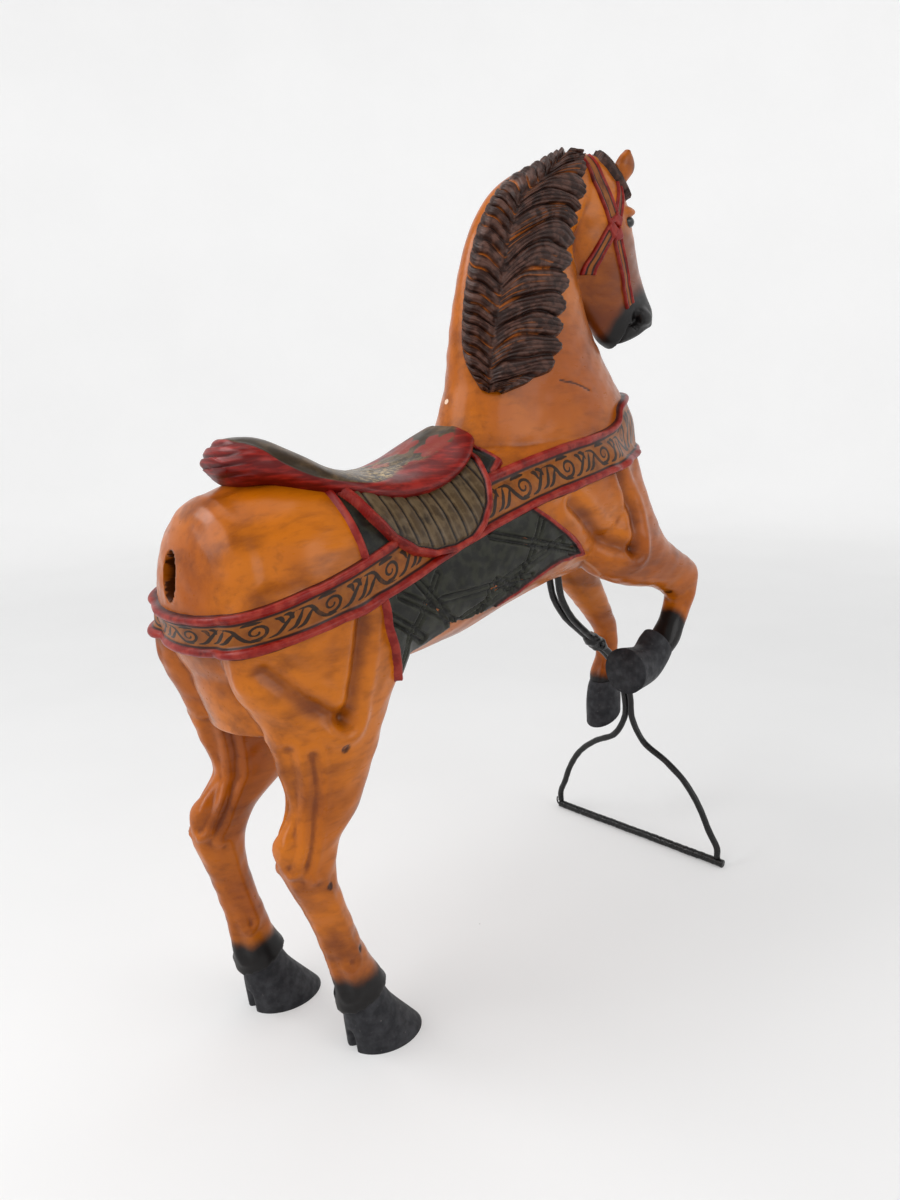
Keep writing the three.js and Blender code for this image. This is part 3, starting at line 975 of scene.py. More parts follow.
@dataclass(frozen=True)
class HorseBody:
    """Trunk, neck, head and legs as one skin, and the ears.

    Args:
        voxel: Step of the joined skin, in mm.
        smoothing: Passes that blend the joins.
        groove_depth: Depth of the grooves on thigh and shoulder, in mm.
    """

    voxel: float = 3.1
    smoothing: int = 24
    groove_depth: float = 9.0

    trunk: tuple[Rib, ...] = (
        Rib(-381, 744, -380, 502, 103),
        Rib(-330, 757, -320, 486, 128),
        Rib(-240, 753, -235, 487, 133),
        Rib(-140, 742, -140, 494, 128),
        Rib(-40, 763, -40, 506, 126),
        Rib(60, 797, 60, 530, 128),
        Rib(160, 826, 160, 549, 129),
        Rib(250, 825, 260, 562, 121),
        Rib(320, 800, 332, 606, 98),
    )
    neck: tuple[Rib, ...] = (
        Rib(-6, 800, 410, 700, 100),
        Rib(11, 855, 409, 792, 88),
        Rib(20, 930, 353, 872, 70),
        Rib(35, 1000, 307, 940, 58),
        Rib(63, 1074, 277, 1015, 50),
        Rib(111, 1132, 264, 1072, 46),
        Rib(186, 1173, 287, 1095, 43),
        Rib(258, 1198, 328, 1120, 38),
    )
    neck_root: tuple[Rib, ...] = (
        Rib(-20, 720, 396, 630, 92),
        Rib(-6, 800, 410, 700, 100),
        Rib(11, 855, 409, 792, 88),
    )
    head: tuple[Rib, ...] = (
        Rib(264, 1201, 240, 1135, 30),
        Rib(334, 1203, 252, 1085, 43),
        Rib(386, 1166, 264, 1037, 49),
        Rib(417, 1110, 282, 990, 46),
        Rib(440, 1056, 314, 960, 37),
        Rib(466, 1012, 341, 938, 32),
        Rib(486, 980, 360, 923, 34),
        Rib(487, 961, 380, 914, 30),
    )
    hind_leg: tuple[Rib, ...] = (
        Rib(-190, 705, -352, 690, 30, -50),
        Rib(-150, 640, -416, 640, 58, -70),
        Rib(-154, 575, -425, 585, 60, -73),
        Rib(-172, 525, -418, 530, 56, -77),
        Rib(-205, 472, -386, 474, 47, -81),
        Rib(-235, 410, -372, 418, 40, -84),
        Rib(-266, 350, -362, 364, 34, -85),
        Rib(-298, 310, -386, 324, 30, -85),
        Rib(-305, 268, -376, 282, 28, -85),
        Rib(-291, 212, -347, 218, 26, -85),
        Rib(-268, 150, -324, 148, 25, -85),
        Rib(-249, 114, -313, 104, 27, -85),
        Rib(-235, 91, -308, 64, 31, -85),
    )
    left_front: tuple[float, ...] = (0, 0, -4, -10, -20, 5, 4, -14, -27, -36, -42, -48, -48)
    left_rear: tuple[float, ...] = (0, 0, -2, -4, -12, -8, -2, -15, -27, -36, -42, -48, -48)
    breech: tuple[Rib, ...] = (
        Rib(-190, 700, -380, 690, 70),
        Rib(-165, 620, -424, 622, 88),
        Rib(-172, 545, -424, 552, 94),
        Rib(-200, 492, -410, 496, 94),
        Rib(-215, 462, -396, 456, 88),
    )
    fore_right: tuple[Rib, ...] = (
        Rib(350, 740, 170, 660, 42, -68),
        Rib(366, 665, 210, 575, 46, -82),
        Rib(398, 608, 300, 535, 38, -90),
        Rib(450, 572, 385, 516, 30, -94),
        Rib(494, 542, 434, 486, 28, -95),
        Rib(486, 492, 432, 482, 26, -95),
        Rib(464, 450, 414, 454, 23, -95),
        Rib(440, 415, 388, 425, 26, -95),
        Rib(412, 392, 370, 420, 22, -95),
    )
    fore_left: tuple[Rib, ...] = (
        Rib(360, 740, 220, 660, 40, 66),
        Rib(392, 620, 270, 570, 40, 78),
        Rib(442, 530, 350, 510, 31, 86),
        Rib(494, 445, 436, 430, 25, 90),
        Rib(519, 395, 471, 385, 21, 90),
        Rib(520, 345, 476, 340, 21, 90),
        Rib(508, 305, 462, 300, 25, 90),
        Rib(508, 278, 462, 268, 20, 89),
    )
    thigh_grooves: tuple = (
        ((-398, 553), (-345, 501), (-302, 474)),
        ((-272, 592), (-284, 540), (-302, 474)),
    )
    shoulder_grooves: tuple = (
        ((120, 688), (210, 624), (281, 598)),
        ((250, 722), (280, 664), (281, 598)),
    )
    leg_grooves: tuple = (
        ((-370, 449), (-362, 397), (-367, 349), (-379, 302)),
        ((-346, 440), (-343, 384), (-354, 327), (-362, 299)),
        ((-366, 286), (-347, 238), (-330, 189), (-316, 139), (-307, 97)),
        ((-347, 272), (-324, 205), (-303, 146)),
    )
    pits: tuple = (
        ((-330, -112, 266), 4.0),
        ((-287, -107, 158), 4.0),
        ((-305, -126, 441), 6.0),
        ((411, -104, 506), 7.0),
    )
    crack: tuple = ((156, 863), (188, 858), (222, 847))
    glue: tuple = ((142, 576), (196, 592), (231, 563))
    mouth: tuple = ((384, 900), (387, 930), (396, 948), (414, 938))
    nostril: tuple = (411, 34, 956)
    nostril_radii: tuple = (9, 14, 14)
    nostril_depth: float = 15.0
    lip_lift: float = 9.0
    socket_depth: float = 52.0

    @staticmethod
    def mirrored(ribs: Sequence[Rib], front: Sequence[float], rear: Sequence[float]) -> tuple[Rib, ...]:
        """The same form on the other side, each rib's two ends moved along the horse by their steps.

        Args:
            ribs: The ribs.
            front, rear: A shift in mm for either end of each.

        Returns:
            The mirrored ribs.
        """
        return tuple(Rib(r.ax + f, r.az, r.bx + b, r.bz, r.half, -r.y) for r, f, b in zip(ribs, front, rear))

    def forms(self) -> list[Shell]:
        """The closed forms that make up the carving.

        Returns:
            Their surfaces.
        """
        made = [
            Loft(self.trunk, 62, 50, sides=72).shell(),
            Loft(self.breech, sides=64).shell(),
            Loft(self.neck).shell(),
            Loft(self.neck_root).shell(),
            Loft(self.head, 10, 14).shell(),
            Loft(self.hind_leg).shell(),
            Loft(self.mirrored(self.hind_leg, self.left_front, self.left_rear)).shell(),
            Loft(self.fore_right).shell(),
            Loft(self.fore_left).shell(),
        ]
        for side in BOTH_SIDES:
            made.append(ellipsoid((370, side.value * 38, 1122), (22, 9, 8)))
            made.append(ellipsoid((430, side.value * 28, 962), (26, 12, 18)))
        return made

    @staticmethod
    def _ear(side: Side) -> tuple[Rib, ...]:
        """An ear's ribs, from its root to its tip.

        Args:
            side: The ear's side.

        Returns:
            The ribs.
        """
        sign = side.value
        return (
            Rib(353, 1158, 369, 1152, 8, sign * 24),
            Rib(351, 1176, 378, 1170, 11, sign * 29),
            Rib(352, 1191, 383, 1187, 12, sign * 33),
            Rib(359, 1204, 382, 1201, 9, sign * 36),
            Rib(368, 1212, 377, 1210, 5, sign * 38),
        )

    def skin(self) -> Shell:
        """Joins the forms, blends the joins and carves grooves, nostrils, mouth and tail socket.

        Returns:
            The surface, all quads.
        """
        plain = relaxed(voxel_joined(joined(self.forms()), self.voxel), self.smoothing)
        return self._carved(plain)

    def _carved(self, plain: Shell) -> Shell:
        """Presses the carved lines and hollows into the skin.

        Args:
            plain: The smooth surface.

        Returns:
            The carved surface.
        """
        points = plain.vertices
        normals = normals_of(plain)
        depth = np.zeros(len(points))
        flat = points[:, [0, 2]]
        faces_out = soft_step(normals[:, 1] * np.sign(points[:, 1]), 0.05, 0.4)
        outer = soft_step(np.abs(points[:, 1]), 50, 75) * faces_out
        for line in (*self.thigh_grooves, *self.shoulder_grooves):
            away = line_distance(flat, [tuple(p) for p in through(line, 12)])
            depth += self.groove_depth * outer * np.exp(-((away / 10) ** 2))
            depth -= 3.0 * outer * np.exp(-(((away - 24) / 10) ** 2))
        for sign, steps in ((-1, 0.0), (1, 1.0)):
            here = (np.sign(points[:, 1]) == sign) & (points[:, 0] < -180) & (points[:, 2] < 470)
            moved = flat.copy()
            moved[:, 0] -= steps * self._left_step(points[:, 2])
            for line in self.leg_grooves:
                away = line_distance(moved, [tuple(p) for p in through(line, 14)])
                sideways = soft_step(np.abs(normals[:, 1]), 0.15, 0.5)
                groove = 4.0 * np.exp(-((away / 6.5) ** 2))
                ridge = 1.6 * np.exp(-(((away - 12) / 5) ** 2))
                depth += here * sideways * (groove - ridge)
        mouth = line_distance(flat, self.mouth)
        face = soft_step(points[:, 2], 900, 905) * (points[:, 0] > 375) * (points[:, 2] < 1000)
        depth += 6.0 * face * (1 - soft_step(mouth, 1, 5))
        for centre, size in self.pits:
            away = np.linalg.norm(points - centre, axis=1)
            depth += 1.6 * (1 - soft_step(away, size * 0.5, size))
        depth += 1.5 * (normals[:, 1] < 0) * (1 - soft_step(line_distance(flat, self.crack), 0.5, 3))
        depth += 0.5 * ripple(points, 34, 21) * soft_step(np.abs(points[:, 1]), 10, 30)
        points = points - normals * depth[:, None]
        for side in BOTH_SIDES:
            x, y, z = self.nostril
            hole = (points - [x, side.value * y, z]) / self.nostril_radii
            hollow = self.nostril_depth * np.exp(-(np.sum(hole**2, axis=1) ** 2))
            points = points - normals * hollow[:, None]
        before_chin = soft_step(points[:, 0], 384, 390) * (points[:, 2] > 880)
        points[:, 2] += self.lip_lift * before_chin * (1 - soft_step(points[:, 2], 932, 958))
        points[:, 0] += self.socket_depth * self.socket_share(points)
        return Shell(points, plain.faces)

    def _left_step(self, height: Array) -> Array:
        """How far the left hind leg stands behind the right one at a height.

        Args:
            height: Heights in mm.

        Returns:
            Shifts in mm.
        """
        heights = [rib.bz for rib in self.hind_leg][::-1]
        return np.interp(height, heights, list(self.left_rear)[::-1])

    @staticmethod
    def socket_share(points: Array, full: float = 0.8, none: float = 1.1) -> Array:
        """How much of the tail socket's depth a point takes.

        Args:
            points: Points in layout mm.
            full, none: Where the share is 1 and where it is 0, in radii of the socket's oval.

        Returns:
            1 inside the socket's oval, 0 outside it.
        """
        oval = np.sqrt(((points[:, 1] - 8) / 13.5) ** 2 + ((points[:, 2] - 654) / 27) ** 2)
        return (1 - soft_step(oval, full, none)) * (points[:, 0] < -370)

    @staticmethod
    def soot_share(points: Array) -> Array:
        """Where the black fades in: above the hooves and over the muzzle.

        Args:
            points: Points in layout mm.

        Returns:
            A share from 0 to 1.
        """
        hind = (1 - soft_step(points[:, 2], 92, 150)) * (points[:, 0] < 0)
        right = 1 - soft_step(np.linalg.norm(points - [395, -95, 410], axis=1), 52, 92)
        left = (1 - soft_step(points[:, 2], 285, 335)) * (points[:, 0] > 380)
        muzzle = 1 - soft_step(np.linalg.norm(points - [440, 0, 925], axis=1), 68, 118)
        return np.maximum.reduce([hind, right * (points[:, 1] < -40), left * (points[:, 1] > 40), muzzle])

    def values(self, shell: Shell, normals: Array) -> Values:
        """Numbers that the wood's finish reads.

        Args:
            shell: The carved skin.
            normals: Its normals.

        Returns:
            Attribute values by name.
        """
        points = shell.vertices
        sunk = np.sum((neighbour_mean(points, shell.faces) - points) * normals, axis=1)
        for _ in range(4):
            spread = neighbour_mean(np.stack([sunk] * 3, axis=1), shell.faces)[:, 0]
            sunk = 0.5 * sunk + 0.5 * spread
        # Painted shade in reddish brown: the hollows, the thigh and shoulder grooves, and the cheek and jaw,
        # where it also stands for dirt.
        painted_shade = 0.75 * soft_step(sunk, 0.02, 0.2)
        # Grime and painted shade: darker in the deeper hollows, inside the tail socket, round the pits and
        # along the crack.
        grime_and_shade = 0.6 * soft_step(sunk, 0.22, 0.5)
        cheek = np.linalg.norm(points - [372, 0, 975], axis=1)
        painted_shade = np.maximum(painted_shade, 0.95 * (1 - soft_step(cheek, 60, 175)))
        flat = points[:, [0, 2]]
        outer = soft_step(np.abs(points[:, 1]), 50, 75)
        for line in (*self.thigh_grooves, *self.shoulder_grooves):
            painted_shade = np.maximum(painted_shade, 0.7 * outer * (1 - soft_step(line_distance(flat, line), 2, 16)))
        grime_and_shade = np.maximum(grime_and_shade, 2.2 * self.socket_share(points, 1.0, 1.16))
        for centre, size in self.pits:
            away = np.linalg.norm(points - centre, axis=1)
            grime_and_shade = np.maximum(grime_and_shade, 0.9 * (1 - soft_step(np.abs(away - size * 0.7), 1, 4)))
        right = points[:, 1] < -60
        grime_and_shade = np.maximum(grime_and_shade, right * (1 - soft_step(line_distance(flat, self.crack), 0.5, 3)))
        # A painted highlight: a pale spot on the crest just ahead of the pommel.
        pale_marks = 1 - soft_step(np.linalg.norm(points - [5, 8, 838], axis=1), 3, 6)
        glue = 0.45 * right * (1 - soft_step(line_distance(flat, self.glue), 1, 4))
        pale = np.maximum(pale_marks, glue)
        return {"soot": self.soot_share(points), "painted_shade": painted_shade, "grime_and_shade": grime_and_shade, "pale_marks": pale}

    def build(self, shell: Shell, pieces: PieceList, material: Material) -> None:
        """Makes the skin's three pieces, whose shading runs on across their joins.

        Args:
            shell: The carved skin.
            pieces: The list to add to.
            material: The wood's finish.
        """
        normals = normals_of(shell)
        values = self.values(shell, normals)
        middle = shell.vertices[shell.faces].mean(axis=1)
        upper = middle[:, 2] > 790 + 0.2 * (middle[:, 0] - 100)
        rear = ~upper & (middle[:, 0] < -60)
        regions = {"rump_and_hind_legs": rear, "chest_and_forelegs": ~upper & ~rear, "neck_and_head": upper}
        for name, chosen in regions.items():
            used, faces = np.unique(shell.faces[chosen], return_inverse=True)
            part = Shell(shell.vertices[used], faces.reshape(-1, 4))
            made = make_mesh(name, part, {key: v[used] for key, v in values.items()})
            made.data.normals_split_custom_set_from_vertices(normals[used].tolist())
            pieces.add(made, HORSE_NODE, WOOD_SLOT, material)
        for side in BOTH_SIDES:
            ear = Loft(self._ear(side), 0, 2, sides=64, steps=14).shell()
            cup = (ear.vertices - [384, side.value * 36, 1190]) / [12, 8, 18]
            hollow = 7 * np.exp(-np.sum(cup**2, axis=1))
            cupped = Shell(swollen(ear, -hollow), ear.faces)
            # Painted shade and grime in the ear's hollow, read by the wood's finish.
            made = make_mesh(f"ear_{side.name.lower()}", cupped, {"grime_and_shade": hollow / 7})
            pieces.add(made, HORSE_NODE, WOOD_SLOT, material)


def voxel_joined(shell: Shell, voxel: float) -> Shell:
    """Overlapping closed forms as one outer skin of even quads.

    Args:
        shell: The forms.
        voxel: The skin's step in mm.

    Returns:
        The skin.
    """
    rough = make_mesh("forms", Shell(shell.vertices * MM, shell.faces), {}, in_layout=False)
    step = rough.modifiers.new("skin", "REMESH")
    step.mode = "VOXEL"
    step.voxel_size = voxel * MM
    ready = rough.evaluated_get(bpy.context.evaluated_depsgraph_get())
    mesh = ready.to_mesh()
    points = np.empty(len(mesh.vertices) * 3, dtype=np.float32)
    mesh.vertices.foreach_get("co", points)
    corners = np.empty(len(mesh.loops), dtype=np.int32)
    mesh.loops.foreach_get("vertex_index", corners)
    ready.to_mesh_clear()
    data = rough.data
    bpy.data.objects.remove(rough)
    bpy.data.meshes.remove(data)
    return Shell(points.reshape(-1, 3).astype(float) / MM, corners.reshape(-1, 4).astype(int))


@dataclass(frozen=True)
class Hooves:
    """Four hooves, each with a ledge at the coronet; the hind ones also have a cleft between their heels."""

    hind: tuple[Rib, ...] = (
        Rib(-244, 86, -296, 74, 25, -85),
        Rib(-238, 74, -297, 62, 28, -85),
        Rib(-228, 57, -297, 45, 33, -85),
        Rib(-181, 0, -292, 0, 44, -85),
    )
    left_step: float = -48.0
    fore_right: tuple[Rib, ...] = (
        Rib(412, 388, 374, 446, 27, -95),
        Rib(396, 375, 366, 440, 29, -95),
        Rib(365, 358, 350, 424, 31, -95),
        Rib(300, 350, 300, 428, 40, -95),
    )
    fore_left: tuple[Rib, ...] = (
        Rib(514, 300, 458, 292, 25, 88),
        Rib(517, 290, 453, 280, 27.5, 88),
        Rib(524, 270, 448, 250, 30, 88),
        Rib(522, 238, 452, 203, 32, 88),
    )

    def build(self, pieces: PieceList, material: Material) -> None:
        """Makes the four hooves.

        Args:
            pieces: The list to add to.
            material: Their finish.
        """
        steps = (self.left_step,) * len(self.hind)
        sets = {
            "hoof_hind_right": self.hind,
            "hoof_hind_left": HorseBody.mirrored(self.hind, steps, steps),
            "hoof_fore_right": self.fore_right,
            "hoof_fore_left": self.fore_left,
        }
        for name, ribs in sets.items():
            shell = Loft(ribs, sides=96, steps=14).shell()
            if "hind" in name:
                shell = Shell(self._cleft(shell.vertices, ribs), shell.faces)
            height = ripple(shell.vertices, 9.0, 5)
            pieces.add(make_mesh(name, shell, {"mottle": height}), HORSE_NODE, WOOD_SLOT, material)

    @staticmethod
    def _cleft(points: Array, ribs: Sequence[Rib]) -> Array:
        """Presses the heel's cleft into a hoof.

        Args:
            points: The hoof's points.
            ribs: Its ribs, sole last.

        Returns:
            The points with the cleft.
        """
        sole = ribs[-1]
        toe = np.array([sole.ax, sole.y, sole.az])
        heel = np.array([sole.bx, sole.y, sole.bz])
        forward = (toe - heel) / np.linalg.norm(toe - heel)
        reach = (points - heel) @ forward
        near = np.exp(-(((points[:, 1] - sole.y) / 5) ** 2)) * (1 - soft_step(reach, 6, 26))
        ledge = points + forward * (12 * near * (1 - soft_step(points[:, 2], 18, 34)))[:, None]
        return ledge


# Saddle and harness


@dataclass(frozen=True)
class Seat:
    """The saddle seat: a bolster that sweeps up at both ends, dark on top and crimson at its side."""

    ribs: tuple[Rib, ...] = (
        Rib(-380, 785, -372, 762, 30),
        Rib(-364, 802, -358, 748, 48),
        Rib(-332, 806, -328, 742, 60),
        Rib(-296, 794, -296, 731, 70),
        Rib(-250, 770, -250, 720, 84),
        Rib(-195, 756, -195, 708, 94),
        Rib(-128, 755, -128, 708, 95),
        Rib(-74, 770, -72, 722, 89),
        Rib(-36, 791, -26, 745, 76),
        Rib(-12, 804, 0, 765, 58),
    )
    border: tuple = (
        (-400, 818), (-372, 808), (-342, 792), (-324, 777), (-303, 765), (-280, 756), (-229, 747),
        (-198, 745), (-160, 748), (-118, 755), (-80, 765), (-45, 781), (-20, 796), (10, 815),
    )

    def build(self, pieces: PieceList, material: Material) -> None:
        """Makes the seat.

        Args:
            pieces: The list to add to.
            material: Its finish.
        """
        shell = Loft(self.ribs, 5, 6, sides=150, steps=22).shell()
        points = shell.vertices
        line = through(self.border, 160)
        over = points[:, 2] - np.interp(points[:, 0], line[:, 0], line[:, 1])
        over = np.where((np.abs(points[:, 1]) < 18) & (points[:, 0] > -350), np.maximum(over, 4), over)
        over = np.where(points[:, 0] < -368, np.minimum(over, -4), over)
        end = 1 - soft_step(points[:, 0], -386, -345)
        lift = np.exp(-((over / 3.0) ** 2)) * 1.3
        notches = np.sin((points[:, 2] - 760) * 2 * math.pi / 12 + points[:, 1] * 0.05)
        lift -= end * 5.0 * soft_step(notches, 0.1, 0.9)
        lift += 0.5 * ripple(points, 40, 3)
        middle = np.stack([points[:, 0], np.zeros(len(points)), np.full(len(points), 745.0)], axis=1)
        away = points - middle
        away[:, 0] = np.where(end > 0, -20 * end, 0)
        away /= np.maximum(np.linalg.norm(away, axis=1, keepdims=True), 1e-6)
        shell = Shell(points + away * lift[:, None], shell.faces)
        values = {
            "over": over,
            "flower": self._flower(points),
            "spray": self._spray(points),
            # Painted shade: the notches at the cantle's end are darkened in the seat's paint.
            "notch_shade": end * soft_step(notches, 0.1, 0.9),
        }
        pieces.add(make_mesh("saddle_seat", shell, values), HORSE_NODE, WOOD_SLOT, material)

    @staticmethod
    def _flower(points: Array) -> Array:
        """Signed distance to the petals painted near the pommel.

        Args:
            points: Points in layout mm.

        Returns:
            Distances in mm, negative inside a petal.
        """
        nearest = np.full(len(points), 99.0)
        blooms = ((-52, -26, 30, 0.3), (-102, -44, 20, 1.2), (-62, 30, 26, 0.9), (-124, 8, 17, 0.1))
        for x, y, size, turn in blooms:
            dx = points[:, 0] - x
            dy = points[:, 1] - y
            angle = np.arctan2(dy, dx) + turn
            petal = size * (0.55 + 0.45 * np.abs(np.cos(2.5 * angle)))
            nearest = np.minimum(nearest, np.hypot(dx, dy) - petal)
        return nearest

    @staticmethod
    def _spray(points: Array) -> Array:
        """How thick the pale foliage lies at mid seat.

        Args:
            points: Points in layout mm.

        Returns:
            A share from 0 to 1.
        """
        along = np.exp(-(((points[:, 0] + 165) / 62) ** 2))
        beside = np.exp(-(((np.abs(points[:, 1]) - 45) / 40) ** 2))
        return along * (0.4 + 0.6 * beside)


@dataclass(frozen=True)
class Harness:
    """The reliefs carved on the flanks: pad, fluted flap and blanket, each with its rim."""

    under_seat: tuple = (
        (-34, 779), (-66, 766), (-100, 753), (-138, 745), (-173, 742), (-206, 739), (-235, 740), (-266, 745),
    )
    flap_edge: tuple = (
        (-266, 745), (-250, 722), (-236, 698), (-218, 673), (-188, 655), (-154, 647), (-118, 648), (-82, 657),
        (-58, 672), (-36, 695), (-20, 722), (-10, 750), (-13, 781),
    )
    pad_rear: tuple = ((-276, 746), (-270, 739), (-268, 700), (-264, 652))
    pad_front: tuple = ((0, 736), (24, 752), (8, 782))
    blanket: tuple = (
        (-250, 618), (-236, 572), (-226, 543), (-214, 498), (-150, 532), (-104, 551), (-50, 556), (16, 572),
        (99, 604), (176, 609), (134, 637), (86, 665), (40, 692), (-60, 668), (-160, 640),
    )
    blanket_rear: tuple = ((-250, 618), (-236, 572), (-226, 543), (-214, 498))
    blanket_front: tuple = ((40, 692), (86, 665), (134, 637), (176, 609))
    blanket_hem: tuple = ((-20, 560), (16, 572), (99, 604), (176, 609))
    carved_lines: tuple = (
        ((-217, 613), (-91, 549)), ((-153, 627), (-208, 520)), ((-236, 590), (-160, 545)),
        ((-103, 556), (18, 597)), ((-144, 593), (41, 595)), ((-60, 552), (-40, 602)),
        ((-40, 602), (27, 571)), ((-48, 663), (154, 615)), ((4, 575), (54, 682)),
        ((-30, 596), (94, 640)), ((-190, 628), (-120, 560)), ((60, 684), (165, 612)),
    )
    flute_step: float = 22.0
    flute_lean: float = 0.11

    def build(self, skin: Skin, pieces: PieceList, flap: Material, pad: Material, blanket: Material) -> None:
        """Makes the reliefs on both sides.

        Args:
            skin: The carving's surface.
            pieces: The list to add to.
            flap, pad, blanket: Their finishes.
        """
        pad_outline = (*self.pad_rear, (-120, 690), *self.pad_front, *self.under_seat)
        flap_outline = (*self.flap_edge, *self.under_seat)
        for side in BOTH_SIDES:
            tag = side.name.lower()
            made = SidePatch(pad_outline, side).build(f"saddle_pad_{tag}", skin, self._pad)
            pieces.add(made, HORSE_NODE, WOOD_SLOT, pad)
            made = SidePatch(flap_outline, side, step=1.6).build(f"saddle_flap_{tag}", skin, self._flap)
            pieces.add(made, HORSE_NODE, WOOD_SLOT, flap)
            made = SidePatch(self.blanket, side).build(f"blanket_{tag}", skin, self._blanket)
            pieces.add(made, HORSE_NODE, WOOD_SLOT, blanket)

    def _pad(self, flat: Array, inside: Array) -> tuple[Array, Values]:
        """The saddle pad's relief.

        Args:
            flat: Side-view places.
            inside: Distances inside the outline.

        Returns:
            Heights and vertex values.
        """
        edge = np.minimum(line_distance(flat, self.pad_rear), line_distance(flat, self.pad_front))
        height = 3.0 + bead(edge, 8, 4.5) + 0.4 * ripple(flat, 30, 11)
        return settle(height, inside), {"edge": edge, "line": np.full(len(flat), 9.0)}

    def _flap(self, flat: Array, inside: Array) -> tuple[Array, Values]:
        """The fluted flap's relief.

        Args:
            flat: Side-view places.
            inside: Distances inside the outline.

        Returns:
            Heights and vertex values.
        """
        lean = (743 - flat[:, 1]) * self.flute_lean
        phase = (flat[:, 0] - lean + 234) / self.flute_step
        across = np.abs(phase - np.round(phase)) * self.flute_step
        rounded = 3.2 * np.sqrt(np.clip(1 - (1 - across / (self.flute_step / 2)) ** 2, 0, 1))
        field = 10.5 + rounded
        edge = np.where(inside < 0, -1.0, line_distance(flat, self.flap_edge))
        rim = 10.0 + bead(edge, 9, 5.5)
        height = np.where(edge < 9, rim, 10.5 + (field - 10.5) * soft_step(edge, 10, 13))
        return settle(height, inside), {"edge": edge, "line": np.where(edge > 10, across, 9.0)}

    def _blanket(self, flat: Array, inside: Array) -> tuple[Array, Values]:
        """The blanket's relief, with its doubled carved lines.

        Args:
            flat: Side-view places.
            inside: Distances inside the outline.

        Returns:
            Heights and vertex values.
        """
        rims = (self.blanket_rear, self.blanket_front, self.blanket_hem)
        edge = np.minimum.reduce([line_distance(flat, rim) for rim in rims])
        edge = np.where(inside < 0, -1.0, edge)
        away = np.min([np.abs(line_distance(flat, line) - 4.2) for line in self.carved_lines], axis=0)
        height = 5.5 - 5.0 * (1 - soft_step(away, 0.8, 3.4)) * (edge > 9) + bead(edge, 8, 4)
        height += 0.5 * ripple(flat, 26, 8)
        return settle(height, inside), {"edge": edge, "line": np.where(edge > 9, away, 9.0)}


@dataclass(frozen=True)
class Scroll:
    """A running scroll painted along a band.

    Args:
        period: Length of one repeat in mm.
        field: Half height of the painted field that the strokes are drawn for, in mm.
    """

    period: float = 92.0
    field: float = 20.0

    def strokes(self) -> list[tuple[Array, Array]]:
        """One repeat's brush strokes.

        Returns:
            For each stroke its points and its half widths.
        """
        turn = np.linspace(0, 1, 26)
        radius = 14.5 - 11.5 * turn
        angle = -0.6 * math.pi + 2.6 * math.pi * turn
        curl = np.stack([22 + radius * np.cos(angle), 1 + radius * np.sin(angle)], axis=1)
        stem = through(((-24, 15), (-6, 12), (4, -4), (14, -14), (30, -17)), 20)
        made = [(curl, 2.5 * (1 - 0.6 * turn)), (stem, 2.9 * np.sin(math.pi * np.linspace(0.05, 1, 20)))]
        leaves = (
            ((33, -16), (46, -13), (56, 0), (66, 14)),
            ((43, 15), (50, 12), (53, 3)),
            ((53, 16), (61, 14), (65, 5)),
            ((56, -15), (66, -11), (72, 0), (76, 11)),
            ((67, -16), (77, -12), (83, -3), (88, 6)),
            ((4, 16), (10, 18), (18, 18), (28, 17)),
        )
        for leaf in leaves:
            made.append((through(leaf, 12), 2.9 * np.sin(math.pi * np.linspace(0.02, 1, 12)) ** 0.8))
        return made

    def distance(self, along: Array, across: Array) -> Array:
        """Signed distance to the nearest stroke.

        Args:
            along: Place along the band in mm.
            across: Place across it, from -1 to 1 over the field.

        Returns:
            Distances in mm, negative in the paint.
        """
        nearest = np.full(len(along), 99.0)
        place = np.stack([np.mod(along, self.period), across * self.field], axis=1)
        for points, widths in self.strokes():
            for shift in (-self.period, 0, self.period):
                for a, b, wide in zip(points[:-1], points[1:], widths[:-1]):
                    start = a + [shift, 0]
                    if start[0] < -30 or start[0] > self.period + 30:
                        continue
                    way = b - a
                    share = np.clip(((place - start) @ way) / max(way @ way, 1e-9), 0, 1)
                    away = np.linalg.norm(place - start - share[:, None] * way, axis=1) - wide
                    nearest = np.minimum(nearest, away)
        return nearest


